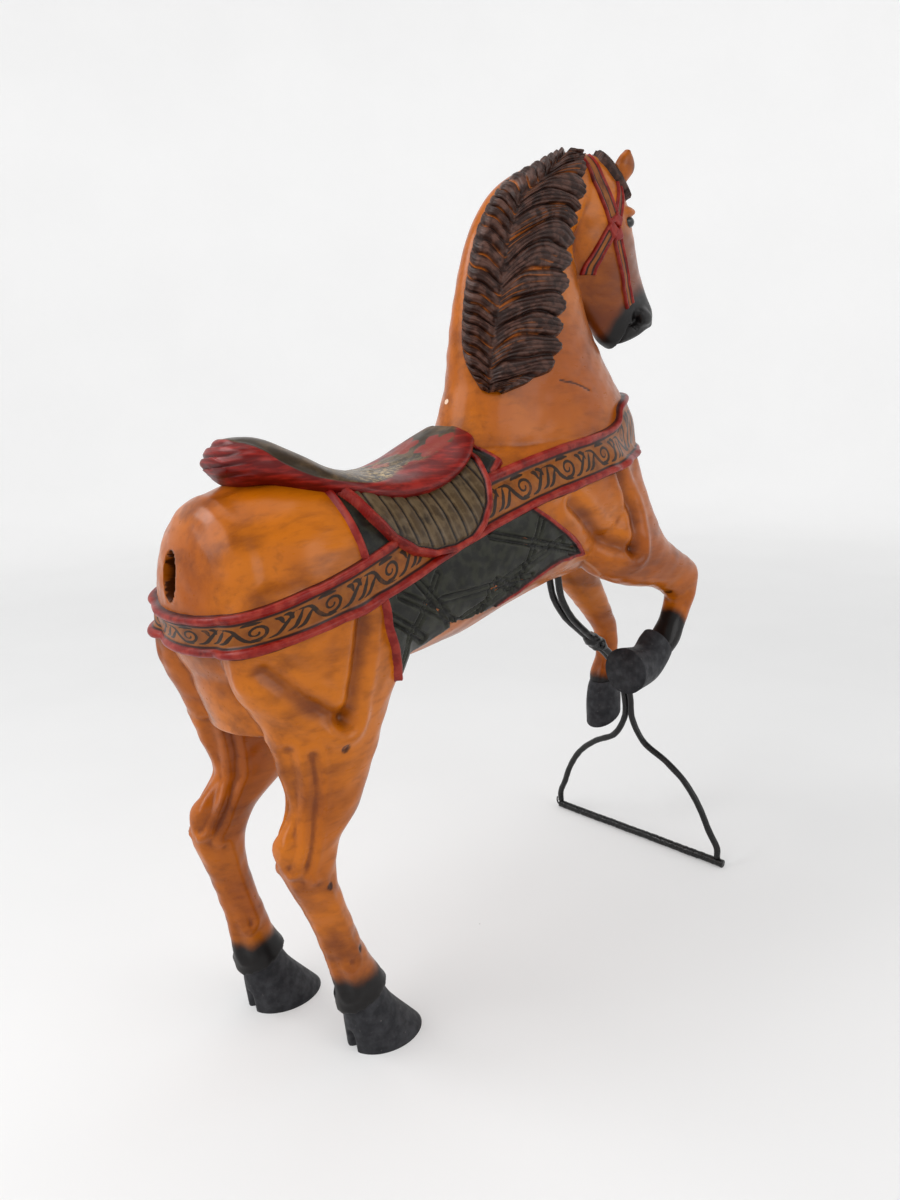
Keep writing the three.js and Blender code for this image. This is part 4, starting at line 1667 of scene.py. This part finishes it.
@dataclass(frozen=True)
class Band:
    """The breast and breeching band round rump, flanks and chest, with a raised rim along either edge."""

    top: tuple = ((-470, 606), (-331, 644), (0, 741), (116, 768), (282, 800), (300, 822), (450, 852))
    low: tuple = ((-470, 558), (-283, 600), (-36, 668), (86, 699), (450, 756))
    rim: float = 14.0
    columns: int = 1400
    rows: int = 48
    centre_half: float = 250.0
    reach: float = 420.0
    ornament: Scroll = Scroll()

    def _rays(self, share: Array) -> tuple[Array, Array]:
        """Rays towards the horse from a long oval round it.

        Args:
            share: Place round the oval, from 0 to 1.

        Returns:
            Starts in plan and inward directions in plan.
        """
        straight = 2 * self.centre_half
        bend = math.pi * self.reach
        place = np.mod(share, 1) * 2 * (straight + bend)
        corner = np.array([0, straight, straight + bend, 2 * straight + bend, 2 * (straight + bend)])
        turn = np.where(place < corner[1], -math.pi / 2, 0.0)
        before = (place >= corner[1]) & (place < corner[2])
        turn = np.where(before, -math.pi / 2 + (place - corner[1]) / self.reach, turn)
        turn = np.where((place >= corner[2]) & (place < corner[3]), math.pi / 2, turn)
        turn = np.where(place >= corner[3], math.pi / 2 + (place - corner[3]) / self.reach, turn)
        half = self.centre_half
        middle = np.interp(place, corner, [-half, half, half, -half, -half])
        outward = np.stack([np.cos(turn), np.sin(turn)], axis=-1)
        start = outward * self.reach
        start[..., 0] += middle
        return start, -outward

    def _edges(self, x: Array) -> tuple[Array, Array]:
        """Heights of the band's edges.

        Args:
            x: Places along the horse in mm.

        Returns:
            Lower and upper heights in mm.
        """
        low = through(self.low, 200)
        top = through(self.top, 200)
        return np.interp(x, low[:, 0], low[:, 1]), np.interp(x, top[:, 0], top[:, 1])

    def build(self, skin: Skin, pieces: PieceList, material: Material) -> None:
        """Makes the band.

        Args:
            skin: The carving's surface.
            pieces: The list to add to.
            material: Its finish.
        """
        share = np.linspace(0, 1, self.columns, endpoint=False)
        x = self._rays(share)[0][:, 0]
        for _ in range(3):
            start, way = self._rays(share)
            low, top = self._edges(x)
            starts = np.column_stack([start, (low + top) / 2])
            found, _ = skin.cast(starts, np.column_stack([way, np.zeros(len(way))]))
            length = np.concatenate([[0], np.cumsum(np.linalg.norm(np.diff(found, axis=0), axis=1))])
            whole = length[-1] + np.linalg.norm(found[0] - found[-1])
            share = np.interp(np.linspace(0, whole, self.columns, endpoint=False), length, share)
            x = np.interp(np.linspace(0, whole, self.columns, endpoint=False), length, found[:, 0])
        start, way = self._rays(share)
        v = np.linspace(-0.06, 1.06, self.rows)[:, None] * np.ones((1, self.columns))
        x = np.ones((self.rows, 1)) * x
        ways = np.zeros((self.rows, self.columns, 3))
        ways[..., :2] = way
        for _ in range(2):
            low, top = self._edges(x)
            starts = np.zeros((self.rows, self.columns, 3))
            starts[..., :2] = start
            starts[..., 2] = low + (top - low) * v
            drape = Drape.over(skin, starts, ways, np.ones(v.shape, dtype=bool), passes=16, wrap=True)
            x = drape.points[..., 0]
        wide = top - low
        edge = np.minimum(v, 1 - v) * wide
        height = 3.0 + bead(edge, self.rim - 3, 7.0) + bead(edge - self.rim + 3.5, 3.5, 1.6)
        height = settle(height, edge, 1.5, 2.5)
        shell, used = drape.lifted(height, np.ones(v.shape, dtype=bool))
        along = np.linspace(0, whole, self.columns, endpoint=False)[None, :] * np.ones_like(v)
        repeats = round(whole / self.ornament.period)
        along = along * repeats * self.ornament.period / whole
        across = (v - 0.5) * wide / np.maximum(wide / 2 - self.rim, 1)
        ink = self.ornament.distance(along.ravel(), across.ravel())
        values = {"edge": edge.ravel()[used], "ink": ink[used]}
        pieces.add(make_mesh("harness_band", shell, values), HORSE_NODE, WOOD_SLOT, material)


@dataclass(frozen=True)
class Bridle:
    """Straps crossing on each cheek, the forelock and the eyes."""

    straps: tuple = (
        ("crown", ((285, 1196), (288, 1181), (294, 1161), (305, 1140), (316, 1119), (324, 1100)), 27.0),
        ("cheek", ((326, 1090), (336, 1071), (348, 1049), (364, 1026), (378, 1000), (391, 980)), 22.0),
        ("brow", ((328, 1096), (336, 1116), (346, 1138), (353, 1162)), 19.0),
        ("throat", ((324, 1096), (312, 1081), (302, 1065), (293, 1048), (287, 1035), (286, 1022)), 22.0),
    )
    crossing: tuple[float, float] = (329.0, 1093.0)
    forelock: tuple = (
        (322, 1199), (333, 1190), (343, 1180), (354, 1171), (365, 1162), (371, 1153), (368, 1142),
    )

    def build(self, skin: Skin, pieces: PieceList, strap: Material, hair: Material, eye: Material) -> None:
        """Makes the straps, forelock and eyes on both sides.

        Args:
            skin: The carving's surface.
            pieces: The list to add to.
            strap, hair, eye: Their finishes.
        """
        for side in BOTH_SIDES:
            tag = side.name.lower()
            for name, line, width in self.straps:
                curve = [tuple(p) for p in through(line, 14)]
                patch = SidePatch(strip(curve, width), side, step=1.2, margin=2.4)
                made = patch.build(f"bridle_{name}_{tag}", skin, self._strap(curve, width))
                pieces.add(made, HORSE_NODE, WOOD_SLOT, strap)
            curve = [tuple(p) for p in through(self.forelock, 16)]
            patch = SidePatch(strip(curve, 18), side, step=1.0, margin=3)
            made = patch.build(f"forelock_{tag}", skin, self._forelock(curve))
            pieces.add(made, HORSE_NODE, WOOD_SLOT, hair)
            ball = ellipsoid((376, side.value * 38, 1107), (12, 9, 9))
            pieces.add(make_mesh(f"eye_{tag}", ball, {}), HORSE_NODE, WOOD_SLOT, eye)

    def _strap(self, curve: Outline, width: float) -> Relief:
        """The relief of one strap.

        Args:
            curve: The strap's middle line.
            width: Its width in mm.

        Returns:
            The relief function.
        """

        def relief(flat: Array, inside: Array) -> tuple[Array, Values]:
            """Raises the strap, its two rims and the block where the straps cross.

            Args:
                flat: Side-view places.
                inside: Distances inside the outline.

            Returns:
                Heights and vertex values.
            """
            away = line_distance(flat, curve)
            edge = width / 2 - away
            crossing = np.linalg.norm(flat - self.crossing, axis=1)
            block = 1 - soft_step(crossing, 17, 20)
            height = 2.2 + bead(edge, 5, 2.6) * (1 - block) + 4.0 * block
            height = settle(height, np.minimum(inside, edge + 0.5), 1.5, 4.5)
            return height, {"edge": np.where(block > 0.5, 2.0, edge), "ink": np.full(len(flat), 9.0)}

        return relief

    @staticmethod
    def _forelock(curve: Outline) -> Relief:
        """The relief of the forelock.

        Args:
            curve: The lock's middle line.

        Returns:
            The relief function.
        """

        def relief(flat: Array, inside: Array) -> tuple[Array, Values]:
            """Raises the lock with its strands.

            Args:
                flat: Side-view places.
                inside: Distances inside the outline.

            Returns:
                Heights and vertex values.
            """
            away = line_distance(flat, curve)
            strand = np.cos(away * 2 * math.pi / 4.0)
            height = 6.5 + 4.5 * np.sqrt(np.clip(1 - (away / 9.5) ** 2, 0, 1)) + 0.9 * strand
            values = {"deep": soft_step(-strand, 0.2, 0.9), "golden": np.zeros(len(flat))}
            return settle(height, inside, 2, 3), values

        return relief


@dataclass(frozen=True)
class Mane:
    """The mane on the right side of the neck: short locks behind a parting, long waves before it."""

    neck: tuple[Rib, ...] = HorseBody.neck
    stations: tuple = (
        (6.78, 24, 7.0, 38, 7.0, 4), (5.74, 47, 6.8, 54, 6.15, 11), (4.65, 47, 5.75, 97, 5.0, 10),
        (3.87, 47, 4.8, 110, 4.2, 10), (2.95, 44, 3.7, 98, 3.25, 10), (2.14, 38, 2.72, 84, 2.42, 10),
        (1.39, 33, 1.82, 72, 1.7, 12), (0.93, 30, 0.95, 38, 0.98, 26),
    )
    rows: int = 720
    left_columns: int = 34
    right_columns: int = 74
    left_locks: int = 27
    waves: int = 14
    strands: int = 4

    def build(self, skin: Skin, pieces: PieceList, material: Material) -> None:
        """Makes the mane.

        Args:
            skin: The carving's surface.
            pieces: The list to add to.
            material: Its finish.
        """
        down = np.linspace(0, 1, self.rows)[:, None]
        columns = through(self.stations, self.rows).T[:, :, None]
        middle, middle_turn, right, right_turn, left, left_turn = columns
        w_left = np.linspace(-0.12, 1, self.left_columns)[None, :]
        w_right = np.linspace(0, 1.12, self.right_columns)[None, 1:]
        scallop = 1 + 0.09 * np.abs(np.sin(math.pi * self.waves * down)) * w_right**2
        bowed = np.clip(w_right, 0, 1)
        rise = 1 - (1 - bowed) ** 2
        place = np.concatenate([left + (middle - left) * w_left, middle + (right - middle) * rise], axis=1)
        turn_l = left_turn + (middle_turn - left_turn) * w_left
        turn_r = middle_turn + (right_turn - middle_turn) * w_right * scallop
        turn = np.concatenate([turn_l, turn_r], axis=1)
        across_left = np.broadcast_to(w_left, (self.rows, self.left_columns))
        across_right = np.broadcast_to(w_right, (self.rows, self.right_columns - 1))
        height_l, deep_l, gold_l = self._short_locks(down, across_left)
        height_r, deep_r, gold_r = self._waves(down, across_right)
        height = np.concatenate([height_l, height_r], axis=1)
        deep = np.concatenate([deep_l, deep_r], axis=1)
        golden = np.concatenate([gold_l, gold_r], axis=1)
        starts, ways = self._rays(place, np.radians(turn))
        everything = np.ones(place.shape, dtype=bool)
        drape = Drape.over(skin, starts, ways, everything, passes=6)
        shell, used = drape.lifted(height, everything)
        values = {"deep": deep.ravel()[used], "golden": golden.ravel()[used]}
        pieces.add(make_mesh("mane", shell, values), HORSE_NODE, WOOD_SLOT, material)

    def _rays(self, place: Array, turn: Array) -> tuple[Array, Array]:
        """Rays from outside the neck towards the middle of its rings.

        Args:
            place: Places along the neck's ribs, counted in ribs from the withers.
            turn: Turns from the crest round the right side, in radians.

        Returns:
            Starts and directions.
        """
        count = 600
        shares = np.linspace(0, len(self.neck) - 1, count)
        tops = through([(r.ax, r.half, r.az) for r in self.neck], count)
        ends = through([(r.bx, r.y, r.bz) for r in self.neck], count)
        ax, half, az = (np.interp(place, shares, tops[:, k]) for k in range(3))
        bx, bz = (np.interp(place, shares, ends[:, k]) for k in (0, 2))
        along = (1 - np.cos(turn)) / 2
        base = np.stack([ax + (bx - ax) * along, -half * np.sin(turn), az + (bz - az) * along], axis=2)
        reach = (bx - ax) ** 2 + (bz - az) ** 2
        upward = -2 * np.cos(turn)
        out = np.stack([upward * (bx - ax) / reach, -np.sin(turn) / half, upward * (bz - az) / reach], axis=2)
        out /= np.linalg.norm(out, axis=2, keepdims=True)
        return base + 60 * out, -out

    def _short_locks(self, down: Array, across: Array) -> tuple[Array, Array, Array]:
        """The short parallel locks behind the parting.

        Args:
            down: Place from the mane's top to its tip.
            across: Place from its left edge, 0, to the parting, 1.

        Returns:
            Height in mm, depth of the valleys and share of gold.
        """
        phase = (down - 0.004 * np.sin(9 * across)) * self.left_locks
        lock = np.abs(np.sin(math.pi * phase)) ** 0.7
        strand = np.abs(np.sin(math.pi * (phase * 3 + 0.3 * np.sin(17 * down))))
        edge = 0.4 * soft_step(across, -0.12, 0.0) + 0.6 * soft_step(across, -0.05, 0.4)
        edge *= 1 - 0.6 * soft_step(across, 0.8, 1.0)
        height = (3 + 8 * lock + 1.2 * strand) * edge - 4 * (1 - soft_step(across, -0.12, -0.02))
        deep = 1 - soft_step(lock, 0.1, 0.5)
        return height, deep, deep * soft_step(np.sin(phase * 1.7 + 5 * across), -0.4, 0.5)

    def _waves(self, down: Array, across: Array) -> tuple[Array, Array, Array]:
        """The long wavy locks before the parting.

        Args:
            down: Place from the mane's top to its tip.
            across: Place from the parting, 0, to the right edge, 1.

        Returns:
            Height in mm, depth of the valleys and share of gold.
        """
        wobble = 0.006 * np.sin(6 * across + 23 * down)
        phase = (down + wobble) * self.waves
        lock = np.abs(np.sin(math.pi * phase)) ** 0.6
        strand = np.abs(np.sin(math.pi * phase * self.strands + 0.9 * np.sin(5 * across + 11 * down)))
        edge = (0.35 + 0.65 * soft_step(across, 0, 0.25)) * (1 - soft_step(across, 0.99, 1.1))
        height = (4 + 10 * lock + 2.6 * strand) * edge - 4 * soft_step(across, 1.03, 1.12)
        deep = np.maximum(1 - soft_step(lock, 0.1, 0.45), 0.7 * (1 - soft_step(strand, 0.1, 0.45)))
        return height, deep, deep * soft_step(np.sin(phase * 2.3 + 3 * across), 0.1, 0.9) * (across < 0.75)


# The stand


@dataclass(frozen=True)
class Stand:
    """Two rods from the belly to the floor bar, with a wrap where they leave the belly."""

    rod_radius: float = 5.8
    bar_radius: float = 7.5
    bar_x: float = 467.0
    bar_ends: tuple[float, float] = (-193.0, 183.0)
    path: tuple = (
        (222, 10, 592), (230, 9.5, 554), (240, 9, 513), (268, 8, 474), (318, 6.6, 433), (352, 6.2, 408),
        (387, 6.2, 378), (426, 6.2, 332), (443, 6.4, 284), (446, 8, 247), (449, 33, 204), (452, 80, 177),
        (455, 118, 147), (458, 147, 107), (462, 167, 62), (466, 180.6, 34), (467, 181, 15.6),
    )
    lumps: tuple = ((0, 8, 13), (10, 12, 17), (19, 10, 15), (30, 12.5, 18), (43, 8, 13))

    def build(self, pieces: PieceList, material: Material) -> None:
        """Makes the stand.

        Args:
            pieces: The list to add to.
            material: Its finish.
        """
        for side in BOTH_SIDES:
            line = through([(x, side.value * y, z) for x, y, z in self.path], 420)
            shell = tube(line, lambda share: self.rod_radius, 20)
            rough = 0.25 * ripple(shell.vertices, 22, 4)
            shell = Shell(swollen(shell, rough), shell.faces)
            tag = side.name.lower()
            pieces.add(make_mesh(f"rod_{tag}", shell, {}), f"stand_rod_{tag}", IRON_SLOT, material)
        pieces.add(make_mesh("collar", self._collar(), {}), "stand_collar", IRON_SLOT, material)
        pieces.add(make_mesh("floor_bar", self._bar(), {}), "stand_floor_bar", IRON_SLOT, material)

    def _collar(self) -> Shell:
        """The lumpy wrap round both rods.

        Returns:
            The surface.
        """
        start = np.array([326.0, 427.0])
        down = np.array([34.0, -25.0]) / math.hypot(34, 25)
        ribs = []
        for far, thick, half in self.lumps:
            x, z = start + down * far
            across_x = down[1] * thick
            across_z = down[0] * thick
            ribs.append(Rib(x - across_x, z + across_z, x + across_x, z - across_z, half))
        shell = Loft(tuple(ribs), 3, 3, sides=48, steps=12).shell()
        return Shell(swollen(shell, 1.1 * ripple(shell.vertices, 13, 9)), shell.faces)

    def _bar(self) -> Shell:
        """The rough bar on the floor with its thin hook.

        Returns:
            The surface.
        """
        right, left = self.bar_ends
        line = np.linspace([self.bar_x, right, self.bar_radius], [self.bar_x, left, self.bar_radius], 300)
        bar = tube(line, lambda share: self.bar_radius - 0.4, 28)
        rough = 0.4 * ripple(bar.vertices, 16, 2) + 0.2 * ripple(bar.vertices, 6, 3)
        points = swollen(bar, rough)
        points[:, 2] = np.maximum(points[:, 2], 0.1)
        bends = ((-3, 6), (5, 6), (8.5, 12), (8, 20))
        hook = through([(self.bar_x, left + y, z) for y, z in bends], 30)
        return joined([Shell(points, bar.faces), tube(hook, lambda share: 2.0 - 0.8 * share, 12)])


def tube(line: Array, radius: Callable[[Array], Array | float], sides: int) -> Shell:
    """A round tube along a line, closed at both ends.

    Args:
        line: Its middle, one point a row.
        radius: Its radius in mm from the share of the way along.
        sides: Points round it.

    Returns:
        The surface.
    """
    ahead = np.gradient(line, axis=0)
    ahead /= np.linalg.norm(ahead, axis=1, keepdims=True)
    side = np.cross(ahead[0], [0.0, 1.0, 0.0] if abs(ahead[0][1]) < 0.9 else [1.0, 0.0, 0.0])
    frames = []
    for way in ahead:
        side = side - way * (side @ way)
        side = side / np.linalg.norm(side)
        frames.append(side)
    first = np.array(frames)
    second = np.cross(ahead, first)
    turn = np.linspace(0, 2 * math.pi, sides, endpoint=False)
    wide = np.broadcast_to(radius(np.linspace(0, 1, len(line))), (len(line),))[:, None, None]
    around = first[:, None, :] * np.cos(turn)[:, None] + second[:, None, :] * np.sin(turn)[:, None]
    rings = line[:, None, :] + wide * around
    faces = grid_faces(len(line), sides, wrap=True)
    points = np.vstack([rings.reshape(-1, 3), line[0], line[-1]])
    at = np.arange(sides)
    after = (at + 1) % sides
    empty = np.full(sides, NO_CORNER)
    last = (len(line) - 1) * sides
    start = np.stack([after, at, np.full(sides, len(line) * sides), empty], axis=1)
    end = np.stack([last + at, last + after, np.full(sides, len(line) * sides + 1), empty], axis=1)
    return Shell(points, np.vstack([faces, start, end]))


def swollen(shell: Shell, amount: Array) -> Array:
    """A surface's points moved along their normals.

    Args:
        shell: The surface.
        amount: How far each moves, in mm.

    Returns:
        The moved points.
    """
    quads = shell.faces[(shell.faces != NO_CORNER).all(axis=1)]
    normals = normals_of(Shell(shell.vertices, quads))
    return shell.vertices + normals * amount[:, None]


# Finishes of the harness


class Finishes:
    """Every material of the object."""

    def __init__(self) -> None:
        """Builds them all."""
        self.wood = WoodFinish().material("varnished wood")
        self.hoof = self._hoof()
        self.band = self._band("band paint", 12.5)
        self.strap = self._band("strap paint", 7.0, 0.2)
        self.flap = self._relief("flap paint", OLIVE, 9.5, 2.6)
        self.pad = self._relief("pad paint", GREEN_BLACK, 8.0, 0.1)
        self.blanket = self._relief("blanket paint", GREEN_BLACK, 8.0, 1.6)
        self.seat = self._seat()
        self.hair = self._hair()
        self.eye = self._eye()
        self.iron = self._iron()

    def _hoof(self) -> Material:
        """Matt charcoal paint on the hooves."""
        g = Graph("hoof paint")
        worn = g.noise(75.0, 6.0)
        base = g.mix(g.span(worn, 0.3, 0.8), colour(36, 36, 39), colour(58, 58, 61))
        base = g.mix(g.span(g.noise(300.0, 2.0), 0.72, 0.8, 0.0, 0.5), base, colour(150, 140, 130))
        g.bump(worn, 1.2, 0.3)
        return g.finish(base, g.span(worn, 0.3, 0.7, 0.62, 0.5))

    def _band(self, name: str, rim: float, edge_shade: float = 0.85) -> Material:
        """A honey field with black brush strokes between crimson rims, with painted shade along each rim's
        outer edge.

        Args:
            name: The material's name.
            rim: The rim's width in mm.
            edge_shade: How dark the painted shade along the rim's outer edge is, from 0 to 1.

        Returns:
            The material. It reads the attributes edge and ink.
        """
        g = Graph(name)
        edge = g.attribute("edge")
        field = HONEY.layer(g, 0.0, 0.3)
        wobble = g.math("MULTIPLY", g.math("SUBTRACT", g.noise(160.0, 3.0), 0.5), 1.6)
        ink = g.math("SUBTRACT", 1.0, g.span(g.math("ADD", g.attribute("ink"), wobble), -0.2, 0.5))
        field = g.mix(g.math("MULTIPLY", ink, g.span(g.noise(45.0, 4.0), 0.24, 0.42, 0.55, 0.95)), field, INK)
        red = CRIMSON.layer(g, 0.0, 0.55)
        share = g.math("SUBTRACT", 1.0, g.span(g.math("ADD", edge, wobble), rim - 0.4, rim + 0.4))
        base = g.mix(share, field, red)
        line = g.math("ABSOLUTE", g.math("SUBTRACT", edge, rim))
        base = g.mix(g.math("SUBTRACT", 1.0, g.span(line, 0.6, 2.2), clamp=True), base, colour(44, 16, 10))
        # Painted shade where the rim's outer edge meets the body.
        outer = g.math("SUBTRACT", 1.0, g.span(edge, 0.3, 2.2))
        base = g.mix(g.math("MULTIPLY", outer, edge_shade), base, colour(40, 16, 10))
        g.bump(g.noise(90.0, 5.0), 0.7, 0.35)
        return g.finish(base, g.span(g.noise(50.0, 4.0), 0.3, 0.7, 0.3, 0.46), coat=0.14)

    def _relief(self, name: str, paint: PaintFinish, rim: float, groove: float) -> Material:
        """A painted field with carved lines and a crimson rim, painted shade inside the lines and a painted
        highlight along their ridges.

        Args:
            name: The material's name.
            paint: The field's paint.
            rim: The rim's width in mm.
            groove: Half width of the painted shade in a carved line, in mm.

        Returns:
            The material. It reads the attributes edge and line.
        """
        g = Graph(name)
        edge = g.attribute("edge")
        # Painted shade inside the carved lines.
        low = g.math("SUBTRACT", 1.0, g.span(g.attribute("line"), groove * 0.2, groove))
        field = paint.layer(g, low, 0.5)
        # Painted highlight: the lighter colour along the ridge beside each carved line.
        ridge = g.math("ABSOLUTE", g.math("SUBTRACT", g.attribute("line"), groove + 1.8))
        shine = g.math("SUBTRACT", 1.0, g.span(ridge, 0.3, 2.2))
        field = g.mix(g.math("MULTIPLY", shine, 0.4), field, paint.rubbed_and_lit)
        red = CRIMSON.layer(g, 0.0, 0.6)
        share = g.math("SUBTRACT", 1.0, g.span(edge, rim - 0.5, rim + 0.5))
        base = g.mix(share, field, red)
        line = g.math("ABSOLUTE", g.math("SUBTRACT", edge, rim))
        base = g.mix(g.math("SUBTRACT", 1.0, g.span(line, 0.4, 1.8), clamp=True), base, colour(30, 12, 8))
        g.bump(g.noise(80.0, 5.0), 0.8, 0.4)
        rough = g.span(g.noise(40.0, 4.0), 0.3, 0.7, paint.rough - 0.06, paint.rough + 0.1)
        return g.finish(base, rough, coat=paint.coat)

    def _seat(self) -> Material:
        """The seat's dark top with painted flowers and foliage, and its crimson side, with painted shade in
        the cantle's notches.

        Returns:
            The material. It reads the attributes over, flower and spray, and the painted shade in the
            notches.
        """
        g = Graph("seat paint")
        wobble = g.math("MULTIPLY", g.math("SUBTRACT", g.noise(90.0, 5.0), 0.5), 14.0)
        dark = g.mix(g.span(g.noise(30.0, 5.0), 0.4, 0.68), colour(50, 39, 26), colour(92, 72, 50))
        petal = g.math("SUBTRACT", 1.0, g.span(g.math("ADD", g.attribute("flower"), wobble), -1.5, 1.5))
        dark = g.mix(g.math("MULTIPLY", petal, 0.85), dark, colour(132, 38, 30))
        speck = g.span(g.noise(190.0, 5.0, (0.7, 1, 1), 0.65), 0.5, 0.58)
        dark = g.mix(g.math("MULTIPLY", speck, g.attribute("spray"), clamp=True), dark, colour(178, 150, 100))
        streak = g.noise(60.0, 5.0, (0.5, 0.5, 3.0))
        red = g.mix(g.span(streak, 0.42, 0.68), colour(92, 13, 9), colour(138, 34, 26))
        # Painted shade in the carved notches at the cantle's end.
        red = g.mix(g.math("MULTIPLY", g.attribute("notch_shade"), 0.85), red, colour(50, 12, 12))
        base = g.mix(g.span(g.attribute("over"), -1.0, 1.0), red, dark)
        g.bump(streak, 0.8, 0.35)
        return g.finish(base, g.span(g.noise(40.0, 4.0), 0.3, 0.7, 0.3, 0.46), coat=0.15)

    def _hair(self) -> Material:
        """Dark brown hair with gold left in its grooves, and painted shade in its valleys.

        Returns:
            The material. It reads the attributes deep and golden.
        """
        g = Graph("mane paint")
        deep = g.attribute("deep")
        # Painted shade: the valleys between locks and strands are darkened.
        base = HAIR.layer(g, g.math("MULTIPLY", deep, 0.8), 0.6)
        golden = g.math("MULTIPLY", g.attribute("golden"), g.span(g.noise(35.0, 4.0), 0.36, 0.58), clamp=True)
        base = g.mix(golden, base, GOLD)
        g.bump(g.noise(120.0, 5.0), 0.8, 0.4)
        return g.finish(base, g.span(g.noise(60.0, 4.0), 0.3, 0.7, 0.34, 0.5), coat=0.12)

    def _eye(self) -> Material:
        """Glossy black eyes."""
        g = Graph("eye paint")
        base = g.mix(g.span(g.noise(80.0, 3.0), 0.4, 0.7), colour(14, 12, 12), colour(40, 30, 26))
        return g.finish(base, 0.16, coat=0.8)

    def _iron(self) -> Material:
        """Black paint on rough iron."""
        g = Graph("iron paint")
        worn = g.noise(70.0, 6.0)
        base = g.mix(g.span(worn, 0.42, 0.7), colour(10, 10, 11), colour(24, 22, 22))
        base = g.mix(g.span(g.noise(220.0, 4.0), 0.7, 0.8, 0.0, 0.5), base, colour(84, 70, 60))
        g.bump(worn, 1.2, 0.5)
        return g.finish(base, g.span(worn, 0.3, 0.7, 0.24, 0.42), gloss=0.4)


# Studio


@dataclass(frozen=True)
class Studio:
    """The photograph's point of view, a pale floor that sweeps up behind, and soft light."""

    camera_at: tuple[float, float, float] = (-0.91935, -0.96098, 0.84445)
    yaw: float = 0.75979
    pitch: float = 0.21771
    roll: float = -0.03222
    lens: float = 27.58

    def build(self) -> None:
        """Makes camera, floor and lights."""
        self._camera()
        self._sweep()
        self._lights()

    def _camera(self) -> None:
        """Sets the camera where the photograph was taken from."""
        data = bpy.data.cameras.new("camera")
        data.lens = self.lens
        data.sensor_width = 36.0
        camera = bpy.data.objects.new("camera", data)
        bpy.context.scene.collection.objects.link(camera)
        level = math.cos(self.pitch)
        ahead = Vector((math.sin(self.yaw) * level, math.cos(self.yaw) * level, -math.sin(self.pitch)))
        right = Vector((math.cos(self.yaw), -math.sin(self.yaw), 0.0))
        up = right.cross(ahead)
        rolled_right = right * math.cos(self.roll) + up * math.sin(self.roll)
        rolled_up = up * math.cos(self.roll) - right * math.sin(self.roll)
        turn = Matrix((rolled_right, rolled_up, -ahead)).transposed().to_4x4()
        x, y, z = self.camera_at
        camera.matrix_world = Matrix.Translation((x + LAYOUT_SHIFT_MM * MM, y, z)) @ turn
        bpy.context.scene.camera = camera

    def _sweep(self) -> None:
        """Makes the pale floor and the wall it bends up into, all round."""
        profile = [(r, 0.0) for r in (0.0, 2.0, 4.0, 5.0)]
        for lift in np.linspace(0.15, math.pi / 2, 10):
            profile.append((5.0 + 3 * math.sin(lift), 3 - 3 * math.cos(lift)))
        profile.append((8.0, 7.0))
        turn = np.linspace(0, 2 * math.pi, 64, endpoint=False)
        rings = []
        for r, z in profile:
            wide = max(r, 1e-3)
            rings.append([(wide * math.cos(a), wide * math.sin(a), z) for a in turn])
        shell = Shell(np.array(rings).reshape(-1, 3), grid_faces(len(profile), 64, wrap=True))
        floor = make_mesh("studio_floor", shell, {}, in_layout=False)
        g = Graph("pale floor")
        base = g.mix(g.span(g.noise(1.2, 3.0), 0.3, 0.7), (0.61, 0.61, 0.61, 1), (0.63, 0.63, 0.63, 1))
        far = g.nodes.new("ShaderNodeVectorMath")
        far.operation = "LENGTH"
        g.links.new(g.place, far.inputs[0])
        g.shader.inputs["Emission Color"].default_value = (1.0, 1.0, 1.0, 1.0)
        g.put(g.shader.inputs["Emission Strength"], g.span(far.outputs["Value"], 1.0, 6.0, 0.22, 0.44))
        floor.data.materials.append(g.finish(base, 0.9, gloss=0.0))

    def _lights(self) -> None:
        """Sets a key light and a window at the left, soft lights right and above, and a pale surround."""
        world = bpy.data.worlds.new("surround")
        world.use_nodes = True
        back = world.node_tree.nodes["Background"]
        back.inputs["Color"].default_value = (1.0, 1.0, 1.0, 1.0)
        back.inputs["Strength"].default_value = 0.4
        bpy.context.scene.world = world
        for name, at, size, power in (
            ("key", (-2.6, 0.2, 2.6), 2.4, 38.0),
            ("window", (-1.8, 1.4, 3.0), 1.2, 26.0),
            ("fill", (0.6, -3.0, 2.0), 2.2, 22.0),
            ("top", (0.0, 0.4, 3.6), 2.4, 16.0),
        ):
            data = bpy.data.lights.new(name, "AREA")
            data.shape = "DISK"
            data.size = size
            data.energy = power
            lamp = bpy.data.objects.new(name, data)
            bpy.context.scene.collection.objects.link(lamp)
            lamp.location = at
            lamp.rotation_euler = (Vector((0.0, 0.0, 0.65)) - Vector(at)).to_track_quat("-Z", "Y").to_euler()
        bpy.context.scene.view_settings.view_transform = "Standard"


def main() -> None:
    """Builds the whole look in order."""
    logging.basicConfig(level=logging.INFO, format="%(name)s %(message)s")
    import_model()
    finishes = Finishes()
    pieces = PieceList()
    body = HorseBody()
    carved = body.skin()
    log.info("skin of %d quads", len(carved.faces))
    skin = Skin(carved)
    body.build(carved, pieces, finishes.wood)
    Hooves().build(pieces, finishes.hoof)
    Seat().build(pieces, finishes.seat)
    Harness().build(skin, pieces, finishes.flap, finishes.pad, finishes.blanket)
    Band().build(skin, pieces, finishes.band)
    Bridle().build(skin, pieces, finishes.strap, finishes.hair, finishes.eye)
    Mane().build(skin, pieces, finishes.hair)
    Stand().build(pieces, finishes.iron)
    Studio().build()


if __name__ == "__main__":
    main()
